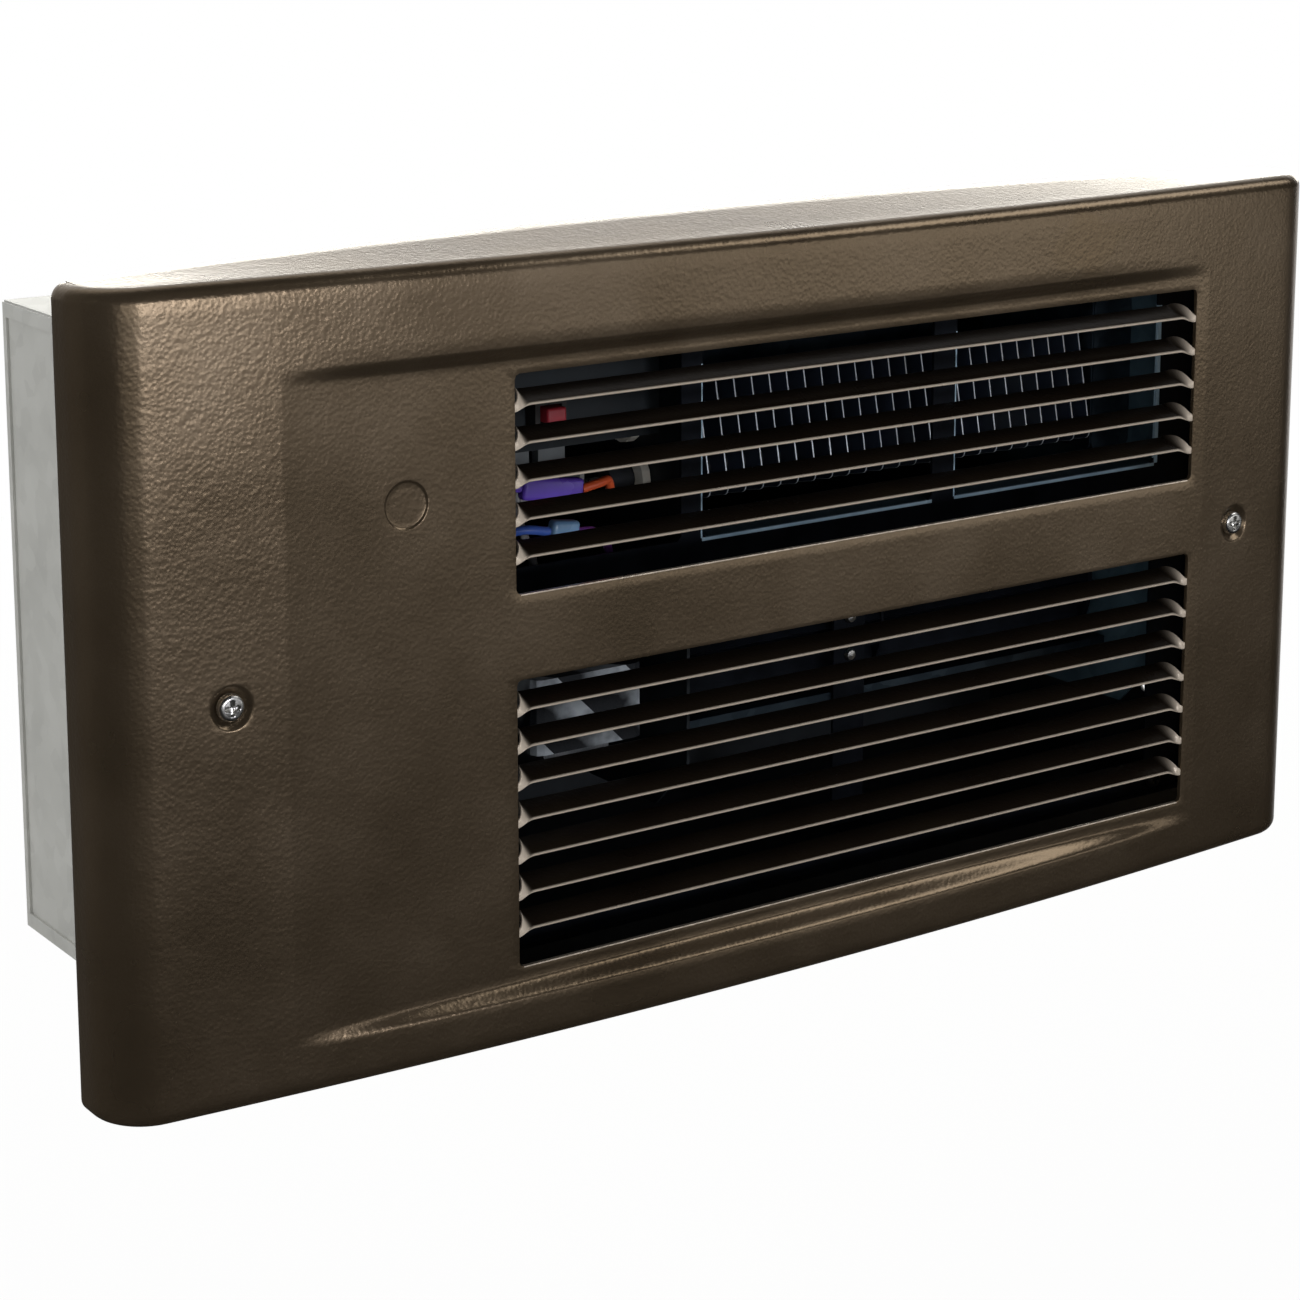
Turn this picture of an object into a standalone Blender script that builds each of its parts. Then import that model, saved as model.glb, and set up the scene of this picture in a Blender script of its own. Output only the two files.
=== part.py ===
"""Recessed fan-forced wall heater: a steel can set in the wall, a bowed louvred cover, and the works inside.

Frame: X to the right as seen from the room, Y into the wall, Z up. The origin is the centre of the can's
mouth, on the surface of the wall. Lengths are in metres.
"""

import math

import bmesh
import bpy
import numpy as np
from mathutils import Matrix, Vector

MM = 0.001
SEAT = 0.3 * MM            # gap between two pieces that touch
RUNNING_GAP = 0.35 * MM    # radial gap round a turning or sliding piece

# Wall can
CAN_WIDTH = 362 * MM
CAN_HEIGHT = 182 * MM
CAN_DEPTH = 98 * MM
CAN_SHEET = 1.2 * MM
CAN_LIP = 4.5 * MM         # folded lip of the top and bottom panels over the sides
CAN_LIP_BACK = 2.6 * MM    # folded lip of the back panel over the sides
CAN_LIP_PROUD = 0.8 * MM
CAN_FLANGE_SHARE = 0.45    # share of the gap between the can and the cover's edge that the can's flange fills
CAN_EAR = 8 * MM           # height of the tabs that the deck plate is screwed to
CAN_EAR_WIDTH = 12 * MM
NAIL_HOLE_RADIUS = 2.5 * MM
INLET_RADIUS = 11 * MM     # cable knock-out
INLET_X = -150 * MM
INLET_Z = 49 * MM

# Front cover
COVER_WIDTH = 419 * MM
COVER_HEIGHT = 216 * MM
COVER_RISE = 3 * MM        # how far the cover's centre lies above the can's
COVER_SHEET = 1.3 * MM
COVER_END_DEPTH = 20 * MM  # how far the face would stand from the wall at the ends of its bow
COVER_BOW = 9.1 * MM
COVER_ROLL = 16 * MM       # radius of the rolled ends
COVER_EDGE = 4 * MM        # bend between the face and the top and bottom flanges
COVER_ARCH = 3.9 * MM      # how far the flanges spring out at mid width, at the wall
PANEL_HALF_WIDTH = 159.5 * MM
PANEL_TOP_MARGIN = 27.9 * MM     # from the cover's top down to the flat panel
PANEL_BOTTOM_MARGIN = 17.3 * MM
PANEL_STEP = 4.5 * MM

# Louvres
GRILLE_LEFT = -91.4 * MM
GRILLE_RIGHT = 154.6 * MM
GRILLE_MARGIN = 3.5 * MM   # from the panel's top and bottom edges to the grilles
UPPER_GRILLE_HEIGHT = 59.6 * MM
GRILLE_BAR = 23.5 * MM     # plain bar between the two grilles
BLADE_PITCH = 10.31 * MM
BLADE_WIDTH = 8.6 * MM
BLADE_SHEET = 1.0 * MM
BLADE_TILT = math.radians(17)
BLADE_NECK = 2.4 * MM      # height of the narrow neck that is left of the sheet at each end
BLADE_DROP = 1.7 * MM      # how far the neck reaches below the blade's front edge
BLADE_TWIST = 5.6 * MM     # length over which a blade turns and widens from its neck
TOP_SLOT = 8.7 * MM        # from the top of a grille down to its first blade's front edge
LAST_SLOT = 5.2 * MM       # least height of the slot below a grille's last blade

# Cover fixing and the round knock-out for a control
COVER_SCREW_X = 175 * MM
COVER_SCREW_RADIUS = 2.0 * MM
COVER_SCREW_HEAD = 3.6 * MM
DIMPLE_RADIUS = 5.7 * MM
DIMPLE_DEPTH = 1.8 * MM
KNOCKOUT_X = -124.4 * MM
KNOCKOUT_RISE = 45.7 * MM  # above the cover's centre
KNOCKOUT_RADIUS = 6.4 * MM

# Deck plate with its openings
DECK_FRONT = 1.9 * MM
DECK_SHEET = 1.0 * MM
DECK_BAND = 6.5 * MM       # what is left of the deck below the inlet
WINDOW_TOP_MARGIN = 1.8 * MM   # from the scroll's roof down to the windows
WINDOW_BELOW_ELEMENT = 22.6 * MM
WINDOW_LEFT = -12.7 * MM
WINDOW_RIGHT = 163.6 * MM
WINDOW_BAR = 8.8 * MM
WINDOW_BAR_X = 76.6 * MM
WIRING_LEFT = -96 * MM
WIRING_MARGIN = 3 * MM     # from the wiring window to the blower's left plate
DECK_BAR = 26.4 * MM       # between the windows and the inlet
DECK_SCREW_X = 167 * MM
DECK_SCREW_RADIUS = 1.6 * MM

# Blower: a cross-flow wheel in a scroll, turning about an axis along X
DUCT_LEFT = -16 * MM
DUCT_RIGHT = 168 * MM
DUCT_SHEET = 1.0 * MM
END_PLATE_RIM = 3 * MM     # how far the end plates reach past the scroll
END_PLATE_CORNER = 16 * MM # cut-off corners of the end plates
WHEEL_BELOW_DECK_BAR = 19 * MM
WHEEL_RADIUS = 24 * MM
WHEEL_BLADES = 18
WHEEL_BLADE_DEPTH = 6 * MM
WHEEL_BLADE_SHEET = 0.8 * MM
WHEEL_DISC = 2 * MM
WHEEL_END_GAP = 4 * MM
HUB_RADIUS = 6 * MM
HUB_LENGTH = 9 * MM
SCROLL_START_GAP = 4.5 * MM
SCROLL_END_GAP = 14 * MM
SCROLL_BACK_GAP = 5.8 * MM     # from the scroll to the can's back
SCROLL_TOP_GAP = 12 * MM
SCROLL_ROUND = 22 * MM
TONGUE_GAP = 3.5 * MM
TONGUE_ROUND = 3 * MM
TONGUE_SHELF = 13 * MM     # level shelf of the tongue, seen through the windows
STRAP_WIDTH = 12 * MM
STRAP_X = 60 * MM
STRAP_WHEEL_GAP = 3.5 * MM
STRAP_FLOOR_GAP = 2 * MM
RIVET_RADIUS = 1.2 * MM
RIVET_HEAD = 2.1 * MM

# Motor
SHAFT_RADIUS = 2.5 * MM
STACK_LEFT = -60 * MM
STACK_LENGTH = 22 * MM
STACK_HALF = 20 * MM
ROTOR_RADIUS = 12.4 * MM
ROTOR_GAP = 0.6 * MM
COIL_LEG = 11 * MM
COIL_WINDOW = 9.5 * MM
COIL_BUILD = 7 * MM
COIL_HEIGHT = 22 * MM
BRIDGE_SHEET = 3 * MM
BRIDGE_HUB = 8 * MM
BRIDGE_WIDTH = 11 * MM
BUSH_RADIUS = 5 * MM
BUSH_LENGTH = 7 * MM
MOTOR_SCREW_RADIUS = 1.8 * MM
MOTOR_SCREW_OFFSET = 15.5 * MM

# Heating element
FIN_COUNT = 24
FIN_PITCH = 6.46 * MM
FIN_SHEET = 0.7 * MM
FIN_HEIGHT = 36 * MM
FIN_DEPTH = 22 * MM
FIN_LEFT = 0.6 * MM
ELEMENT_Y = 31 * MM
ELEMENT_DROP = 35.8 * MM       # from the scroll's roof down to the element's centre
ELEMENT_TILT = math.radians(12)
ELEMENT_TUBE = 3.6 * MM
ELEMENT_SPACING = 18 * MM
CERAMIC_WALL = 2.4 * MM
ELEMENT_BEND_MARGIN = 14.3 * MM   # from the centre of the hairpin's bend to the blower's right plate
ELEMENT_COLD_END = -28 * MM
BRACKET_GAP = 1.6 * MM     # from the outer fins to the element's brackets
PIN_RADIUS = 1.3 * MM
PIN_LENGTH = 9 * MM

# Thermal cut-out with its reset button
CUTOUT_X = -57 * MM
CUTOUT_ABOVE_ELEMENT = 17 * MM
CUTOUT_FRONT = 18.3 * MM
CUTOUT_WIDTH = 24 * MM
CUTOUT_HEIGHT = 18 * MM
CUTOUT_DEPTH = 10 * MM
CUTOUT_SHEET = 1.0 * MM
BUTTON_WIDTH = 6.4 * MM
BUTTON_HEIGHT = 4.4 * MM
BUTTON_FRONT = 9 * MM
BUTTON_LENGTH = 15 * MM
BUTTON_TRAVEL = 1.5 * MM
COLLAR_WALL = 1.6 * MM
COLLAR_LENGTH = 6 * MM

# Terminal block and wiring
BLOCK_X = -140 * MM
BLOCK_Z = 2 * MM
BLOCK_WIDTH = 30 * MM
BLOCK_HEIGHT = 24 * MM
BLOCK_DEPTH = 18 * MM
TERMINAL_PITCH = 14 * MM
BUSHING_BORE = 7.5 * MM
BUSHING_LIP = 2 * MM
EARTH_X = -110 * MM
EARTH_Z = -60 * MM
EARTH_RADIUS = 2 * MM
WIRE_RADIUS = 1.3 * MM
TAB_WIDTH = 6.3 * MM
TAB_SHEET = 0.8 * MM
TAB_LENGTH = 8 * MM
SPADE_LENGTH = 12 * MM
SPADE_WALL = 1.0 * MM
CONNECTOR_LENGTHS = (20 * MM, 9 * MM)
CONNECTOR_WIDTH = 6.6 * MM
CONNECTOR_HEIGHT = 4 * MM

# Values that follow from the ones above
CAN_BACK = CAN_DEPTH - CAN_SHEET
CAN_INSIDE_X = CAN_WIDTH / 2 - CAN_SHEET
CAN_INSIDE_Z = CAN_HEIGHT / 2 - CAN_SHEET
PANEL_TOP = COVER_RISE + COVER_HEIGHT / 2 - PANEL_TOP_MARGIN
PANEL_BOTTOM = COVER_RISE - COVER_HEIGHT / 2 + PANEL_BOTTOM_MARGIN
UPPER_TOP = PANEL_TOP - GRILLE_MARGIN
UPPER_BOTTOM = UPPER_TOP - UPPER_GRILLE_HEIGHT
LOWER_TOP = UPPER_BOTTOM - GRILLE_BAR
LOWER_BOTTOM = PANEL_BOTTOM + GRILLE_MARGIN
SCROLL_TOP = CAN_INSIDE_Z - SCROLL_TOP_GAP
ELEMENT_Z = SCROLL_TOP - ELEMENT_DROP
WINDOW_TOP = SCROLL_TOP - WINDOW_TOP_MARGIN
WINDOW_BOTTOM = ELEMENT_Z - WINDOW_BELOW_ELEMENT
INLET_TOP = WINDOW_BOTTOM - DECK_BAR
INLET_BOTTOM = DECK_BAND - CAN_INSIDE_Z
WHEEL_Y = CAN_BACK - SCROLL_BACK_GAP - SCROLL_END_GAP - WHEEL_RADIUS
WHEEL_Z = INLET_TOP - WHEEL_BELOW_DECK_BAR
STRAP_Y = WHEEL_Y - WHEEL_RADIUS - STRAP_WHEEL_GAP
CUTOUT_Z = ELEMENT_Z + CUTOUT_ABOVE_ELEMENT
DECK_BACK = DECK_FRONT + DECK_SHEET
DECK_SCREW_Z = CAN_INSIDE_Z - CAN_EAR / 2
DUCT_FRONT = DECK_BACK + SEAT
WHEEL_LEFT = DUCT_LEFT + WHEEL_END_GAP
WHEEL_RIGHT = DUCT_RIGHT - WHEEL_END_GAP
STACK_RIGHT = STACK_LEFT + STACK_LENGTH
ELEMENT_UP = Vector((0, math.sin(ELEMENT_TILT), math.cos(ELEMENT_TILT)))
END_PLATE_LEFT = DUCT_LEFT - DUCT_SHEET


def clear_scene():
    """Empty the scene and return a collection for the parts and one for the cutters."""
    for old in list(bpy.data.objects):
        bpy.data.objects.remove(old)
    made = []
    for name in ("wall_heater", "cutters"):
        made.append(bpy.data.collections.new(name))
        bpy.context.scene.collection.children.link(made[-1])
    return made


PARTS, CUTTERS = clear_scene()


def finish(name, colour, roughness, metallic):
    """A plain material with one colour, roughness and metallic value."""
    made = bpy.data.materials.get(name)
    if made is None:
        made = bpy.data.materials.new(name)
        made.use_nodes = True
        shader = made.node_tree.nodes["Principled BSDF"]
        shader.inputs["Base Color"].default_value = (*colour, 1)
        shader.inputs["Roughness"].default_value = roughness
        shader.inputs["Metallic"].default_value = metallic
        made.diffuse_color = (*colour, 1)
    return made


def bronze():
    return finish("bronze_powder_coat", (0.055, 0.038, 0.026), 0.45, 0.6)


def galvanised():
    return finish("galvanised_steel", (0.46, 0.46, 0.43), 0.42, 0.9)


def black_steel():
    return finish("black_steel", (0.012, 0.013, 0.016), 0.5, 0.3)


def zinc():
    return finish("zinc_casting", (0.5, 0.51, 0.52), 0.35, 0.9)


def bright_steel():
    return finish("bright_steel", (0.6, 0.6, 0.58), 0.3, 1.0)


def nylon(name, colour):
    return finish(name, colour, 0.5, 0.0)


def place(mesh, name, colour, matrix=None):
    """Put a mesh in the scene as a named part with its material, shaded smooth across shallow edges."""
    mesh.materials.clear()
    mesh.materials.append(colour)
    mesh.shade_smooth()
    mesh.set_sharp_from_angle(angle=math.radians(35))
    made = bpy.data.objects.new(name, mesh)
    if matrix is not None:
        made.matrix_world = matrix
    PARTS.objects.link(made)
    return made


def mesh_of(bm, name):
    bmesh.ops.recalc_face_normals(bm, faces=bm.faces)
    mesh = bpy.data.meshes.new(name)
    bm.to_mesh(mesh)
    bm.free()
    return mesh


def block(name, low, high, colour, rounding=0.0):
    """A box between two corners, its edges bevelled where a rounding is given."""
    low, high = Vector(low), Vector(high)
    bm = bmesh.new()
    bmesh.ops.create_cube(bm, size=1)
    bmesh.ops.scale(bm, vec=high - low, verts=bm.verts)
    made = place(mesh_of(bm, name), name, colour, Matrix.Translation((low + high) / 2))
    if rounding:
        bevel = made.modifiers.new("rounding", "BEVEL")
        bevel.width = rounding
        bevel.segments = 2
    return made


def rod(name, start, end, radius, colour, sides=20):
    """A round bar between two points."""
    start, end = Vector(start), Vector(end)
    bm = bmesh.new()
    bmesh.ops.create_cone(
        bm, cap_ends=True, segments=sides, radius1=radius, radius2=radius, depth=(end - start).length
    )
    turn = (end - start).to_track_quat("Z", "Y").to_matrix().to_4x4()
    return place(mesh_of(bm, name), name, colour, Matrix.Translation((start + end) / 2) @ turn)


def turned(name, profile, base, axis, colour, steps=24, closed=False):
    """A turned piece: (radius, height) pairs down its outer side, with the height measured along the axis."""
    mesh = bpy.data.meshes.new(name)
    edges = [(i, i + 1) for i in range(len(profile) - 1)]
    if closed:
        edges.append((len(profile) - 1, 0))
    mesh.from_pydata([(radius, 0, height) for radius, height in profile], edges, [])
    turn = Vector(axis).to_track_quat("Z", "Y").to_matrix().to_4x4()
    made = place(mesh, name, colour, Matrix.Translation(base) @ turn)
    screw = made.modifiers.new("turning", "SCREW")
    screw.steps = screw.render_steps = steps
    screw.use_merge_vertices = True
    screw.merge_threshold = 0.00001
    return made


def circle(centre, radius, sides=20, start=0.0):
    """The points of a circle in a plate's own plane."""
    return [
        (
            centre[0] + radius * math.cos(start + 2 * math.pi * i / sides),
            centre[1] + radius * math.sin(start + 2 * math.pi * i / sides),
        )
        for i in range(sides)
    ]


def rectangle(low, high, radius=0.0, steps=3):
    """A rectangle between two corners in a plate's own plane, with rounded corners."""
    if not radius:
        return [low, (high[0], low[1]), high, (low[0], high[1])]
    corners = (
        (high[0] - radius, high[1] - radius, 0),
        (low[0] + radius, high[1] - radius, 1),
        (low[0] + radius, low[1] + radius, 2),
        (high[0] - radius, low[1] + radius, 3),
    )
    points = []
    for a, b, quarter in corners:
        for i in range(steps + 1):
            angle = (quarter + i / steps) * math.pi / 2
            points.append((a + radius * math.cos(angle), b + radius * math.sin(angle)))
    return points


def ribbon(points, thickness):
    """The outline of a bent strip of sheet whose middle follows the points."""
    line = np.array(points, float)
    step = np.diff(line, axis=0)
    step /= np.linalg.norm(step, axis=1)[:, None]
    side = np.stack([-step[:, 1], step[:, 0]], 1)
    mean = np.vstack([side[:1], side[:-1] + side[1:], side[-1:]])
    mean /= np.linalg.norm(mean, axis=1)[:, None]
    reach = np.ones(len(line))
    reach[1:-1] = 1 / np.einsum("ij,ij->i", mean[1:-1], side[1:])
    offset = mean * (reach * thickness / 2)[:, None]
    return [tuple(p) for p in line + offset] + [tuple(p) for p in (line - offset)[::-1]]


# A plate's own plane, as the world directions of its first, second and thickness axes.
FACING_ROOM = Matrix(((1, 0, 0, 0), (0, 0, -1, 0), (0, 1, 0, 0), (0, 0, 0, 1)))
FACING_SIDE = Matrix(((0, 0, 1, 0), (1, 0, 0, 0), (0, 1, 0, 0), (0, 0, 0, 1)))
FACING_UP = Matrix.Identity(4)


def plate(name, loops, plane, start, thickness, colour):
    """A flat sheet: its first loop is the outline and the others are holes. It starts at a depth and has the
    given thickness."""
    curve = bpy.data.curves.new(name, "CURVE")
    curve.dimensions = "2D"
    curve.fill_mode = "BOTH"
    curve.extrude = thickness / 2
    for loop in loops:
        spline = curve.splines.new("POLY")
        spline.points.add(len(loop) - 1)
        for point, (a, b) in zip(spline.points, loop):
            point.co = (a, b, 0, 1)
        spline.use_cyclic_u = True
    normal = plane @ Vector((0, 0, 1))
    middle = start + thickness / 2
    along = Vector([abs(value) * middle for value in normal])
    shape = bpy.data.objects.new(name, curve)
    shape.matrix_world = Matrix.Translation(along) @ plane
    PARTS.objects.link(shape)
    return meshed(shape, colour)


def meshed(shape, colour):
    """The closed mesh of a curve object, which it replaces."""
    bpy.context.view_layer.update()
    graph = bpy.context.evaluated_depsgraph_get()
    mesh = bpy.data.meshes.new_from_object(shape.evaluated_get(graph))
    matrix = shape.matrix_world.copy()
    name = shape.name
    old = shape.data
    bpy.data.objects.remove(shape)
    bpy.data.curves.remove(old)
    bm = bmesh.new()
    bm.from_mesh(mesh)
    bpy.data.meshes.remove(mesh)
    bmesh.ops.remove_doubles(bm, verts=bm.verts, dist=0.000002)
    return place(mesh_of(bm, name), name, colour, matrix)


def tube(name, points, radius, colour, resolution=1):
    """A tube along the points."""
    curve = bpy.data.curves.new(name, "CURVE")
    curve.dimensions = "3D"
    curve.bevel_depth = radius
    curve.bevel_resolution = resolution
    curve.use_fill_caps = True
    spline = curve.splines.new("POLY")
    spline.points.add(len(points) - 1)
    for point, co in zip(spline.points, points):
        point.co = (*co, 1)
    shape = bpy.data.objects.new(name, curve)
    PARTS.objects.link(shape)
    return meshed(shape, colour)


def helper(piece):
    """Take a piece out of the render, as a cutter or as a shape that is joined to another."""
    PARTS.objects.unlink(piece)
    CUTTERS.objects.link(piece)
    piece.hide_render = True
    piece.display_type = "WIRE"
    return piece


def boolean(target, piece, operation):
    modifier = target.modifiers.new(piece.name, "BOOLEAN")
    modifier.operation = operation
    modifier.object = helper(piece)


def cut(target, *cutters):
    for cutter in cutters:
        boolean(target, cutter, "DIFFERENCE")
    return target


def join(target, *pieces):
    for piece in pieces:
        boolean(target, piece, "UNION")
    return target


def blocks(name, corners, colour):
    """Several separate boxes in one mesh, for one cut or one join."""
    bm = bmesh.new()
    for low, high in corners:
        low, high = Vector(low), Vector(high)
        made = bmesh.ops.create_cube(bm, size=1)["verts"]
        bmesh.ops.scale(bm, vec=high - low, verts=made)
        bmesh.ops.translate(bm, vec=(low + high) / 2, verts=made)
    return place(mesh_of(bm, name), name, colour)


def bores(name, centres, axis, start, end, radius, sides=20):
    """Several round bores along one axis in one mesh; each centre gives the two other coordinates."""
    bm = bmesh.new()
    turn = Vector([1 if letter == axis else 0 for letter in "XYZ"]).to_track_quat("Z", "Y").to_matrix()
    for a, b in centres:
        made = bmesh.ops.create_cone(
            bm, cap_ends=True, segments=sides, radius1=radius, radius2=radius, depth=end - start
        )["verts"]
        middle = (start + end) / 2
        centre = {"X": (middle, a, b), "Y": (a, middle, b), "Z": (a, b, middle)}[axis]
        bmesh.ops.rotate(bm, matrix=turn, verts=made)
        bmesh.ops.translate(bm, vec=centre, verts=made)
    return place(mesh_of(bm, name), name, black_steel())


def wall_can():
    """The open steel box in the wall: a flange that lies on the wall round its mouth, folded side lips, ears
    for the deck, nail holes and cable knock-outs."""
    colour = galvanised()
    half_x, half_z = CAN_WIDTH / 2, CAN_HEIGHT / 2
    can = block("wall_can", (-half_x, 0, -half_z), (half_x, CAN_DEPTH, half_z), colour)
    gap = min(COVER_WIDTH / 2 - half_x, COVER_HEIGHT / 2 - COVER_RISE - half_z)
    flange = CAN_FLANGE_SHARE * (gap - COVER_SHEET)
    ring = [
        rectangle((-half_x - flange, -half_z - flange), (half_x + flange, half_z + flange), flange / 2),
        rectangle((-CAN_INSIDE_X, -CAN_INSIDE_Z), (CAN_INSIDE_X, CAN_INSIDE_Z)),
    ]
    join(can, plate("can_flange", ring, FACING_ROOM, -CAN_SHEET, CAN_SHEET * 1.5, colour))
    low, high = (-CAN_INSIDE_X, -CAN_DEPTH, -CAN_INSIDE_Z), (CAN_INSIDE_X, CAN_BACK, CAN_INSIDE_Z)
    cut(can, block("can_cavity", low, high, colour))
    edge = 0.4 * MM
    lip = [
        (edge, half_z - edge),
        (CAN_DEPTH - edge, half_z - edge),
        (CAN_DEPTH - edge, edge - half_z),
        (edge, edge - half_z),
        (edge, CAN_LIP - half_z),
        (CAN_DEPTH - CAN_LIP_BACK, CAN_LIP - half_z),
        (CAN_DEPTH - CAN_LIP_BACK, half_z - CAN_LIP),
        (edge, half_z - CAN_LIP),
    ]
    buried = CAN_SHEET / 2
    for side, start in (("left", -half_x - CAN_LIP_PROUD), ("right", half_x - buried)):
        join(can, plate(f"can_lip_{side}", [lip], FACING_SIDE, start, CAN_LIP_PROUD + buried, colour))
    ears = []
    for x in (-DECK_SCREW_X, DECK_SCREW_X):
        for side in (-1, 1):
            inner, outer = CAN_INSIDE_Z - CAN_EAR, CAN_INSIDE_Z + CAN_SHEET / 2
            low, high = sorted((side * inner, side * outer))
            half = CAN_EAR_WIDTH / 2
            ears.append(((x - half, DUCT_FRONT, low), (x + half, DUCT_FRONT + CAN_SHEET, high)))
    join(can, blocks("can_ears", ears, colour))
    screws = [(x, z) for x in (-DECK_SCREW_X, DECK_SCREW_X) for z in (-DECK_SCREW_Z, DECK_SCREW_Z)]
    cut(can, bores("can_screw_holes", screws, "Y", 0, 2 * CAN_EAR, DECK_SCREW_RADIUS + SEAT, 16))
    nails = [(y, z) for y in (0.2 * CAN_DEPTH, 0.55 * CAN_DEPTH) for z in (-CAN_HEIGHT / 3, CAN_HEIGHT / 3)]
    cut(can, bores("can_nail_holes", nails, "X", -CAN_WIDTH, CAN_WIDTH, NAIL_HOLE_RADIUS, 12))
    cut(can, bores("can_inlet", [(INLET_X, INLET_Z)], "Y", CAN_DEPTH / 2, 2 * CAN_DEPTH, INLET_RADIUS))
    earth = [(EARTH_X, EARTH_Z)]
    cut(can, bores("can_earth_hole", earth, "Y", CAN_DEPTH / 2, 2 * CAN_DEPTH, EARTH_RADIUS + SEAT, 12))
    groove = [
        (INLET_RADIUS, CAN_SHEET),
        (INLET_RADIUS, -CAN_SHEET / 3),
        (INLET_RADIUS - 0.7 * MM, -CAN_SHEET / 3),
        (INLET_RADIUS - 0.7 * MM, CAN_SHEET),
    ]
    for name, z in (("upper", CAN_HEIGHT / 4), ("lower", -CAN_HEIGHT / 4)):
        base = (-half_x, CAN_DEPTH / 2, z)
        cut(can, turned(f"can_knockout_{name}", groove, base, (-1, 0, 0), colour, 24, True))
    return can


def cover_profile(inset):
    """The plan of the cover's skin from the left wall edge to the right, moved inwards by the inset.

    Returns x, the distance from the wall, and how deep the flat panel is sunk below the bow there.
    The bow is a parabola between two rolled ends that run tangent to it and square to the wall.
    """
    half = COVER_WIDTH / 2
    slope = 2 * COVER_BOW / half
    turn = math.pi / 2 - math.atan(slope)
    meet = half - COVER_ROLL + COVER_ROLL * math.cos(turn)

    def bow(x):
        return COVER_END_DEPTH + COVER_BOW * (1 - (x / half) ** 2)

    centre = bow(meet) - COVER_ROLL * math.sin(turn)
    angles = np.linspace(0, turn, 7)
    roll_x = half - COVER_ROLL + COVER_ROLL * np.cos(angles)
    roll_out = centre + COVER_ROLL * np.sin(angles)
    roll_normal = np.stack([np.cos(angles), np.sin(angles)], 1)
    flat = np.linspace(-PANEL_HALF_WIDTH, PANEL_HALF_WIDTH, 15)
    outer = (PANEL_HALF_WIDTH + meet) / 2
    mid_x = np.concatenate([[-outer], flat, [outer]])
    bow_normal = np.stack([2 * COVER_BOW * mid_x / half**2, np.ones(len(mid_x))], 1)
    bow_normal /= np.linalg.norm(bow_normal, axis=1)[:, None]
    mirror = np.array([-1, 1])
    x = np.concatenate([[-half], -roll_x, mid_x, roll_x[::-1], [half]])
    out = np.concatenate([[0], roll_out, bow(mid_x), roll_out[::-1], [0]])
    normal = np.vstack([[[-1, 0]], roll_normal * mirror, bow_normal, roll_normal[::-1], [[1, 0]]])
    sunk = np.where(np.abs(x) < PANEL_HALF_WIDTH, out - bow(PANEL_HALF_WIDTH), 0)
    return x - inset * normal[:, 0], out - inset * normal[:, 1], np.maximum(sunk, 0)


def cover_body(name, inset, over):
    """A closed body: the cover's skin moved inwards by the inset, with its back at the wall plus over."""
    half_z = COVER_HEIGHT / 2
    rows = []
    bend = COVER_EDGE - inset
    for angle in np.radians([90, 60, 30, 0]):
        lift = half_z - inset - bend * (1 - math.sin(angle))
        rows.append((lift, inset + bend * (1 - math.cos(angle)), 0))
    face = [
        (PANEL_TOP + PANEL_STEP - COVER_RISE, inset, 0),
        (PANEL_TOP + PANEL_STEP / 2 - COVER_RISE, inset, 0.5),
        (PANEL_TOP - COVER_RISE, inset, 1),
        (PANEL_BOTTOM - COVER_RISE, inset, 1),
        (PANEL_BOTTOM - PANEL_STEP / 2 - COVER_RISE, inset, 0.5),
        (PANEL_BOTTOM - PANEL_STEP - COVER_RISE, inset, 0),
    ]
    rows += face + [(-lift, moved, sunk) for lift, moved, sunk in rows[::-1]]
    bm = bmesh.new()
    grid = []
    for lift, moved, share in rows:
        x, out, sunk = cover_profile(moved)
        out = out - share * sunk
        out[[0, -1]] = -over
        grid.append([bm.verts.new((a, -b, lift + COVER_RISE)) for a, b in zip(x, out)])
    for first, sign in ((0, 1), (-1, -1)):
        edge = grid[first]
        wall = []
        for vertex in edge:
            arch = COVER_ARCH * (1 - (2 * vertex.co.x / COVER_WIDTH) ** 2)
            wall.append(bm.verts.new((vertex.co.x, over, vertex.co.z + sign * arch)))
        if sign > 0:
            grid.insert(0, wall)
        else:
            grid.append(wall)
    for upper, lower in zip(grid, grid[1:]):
        for i in range(len(upper) - 1):
            bm.faces.new((upper[i], lower[i], lower[i + 1], upper[i + 1]))
    bmesh.ops.remove_doubles(bm, verts=bm.verts, dist=0.00001)
    bmesh.ops.holes_fill(bm, edges=[e for e in bm.edges if e.is_boundary])
    return place(mesh_of(bm, name), name, bronze())


def panel_depth():
    """How far the flat panel's front lies from the wall."""
    return COVER_END_DEPTH + COVER_BOW * (1 - (2 * PANEL_HALF_WIDTH / COVER_WIDTH) ** 2)


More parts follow.
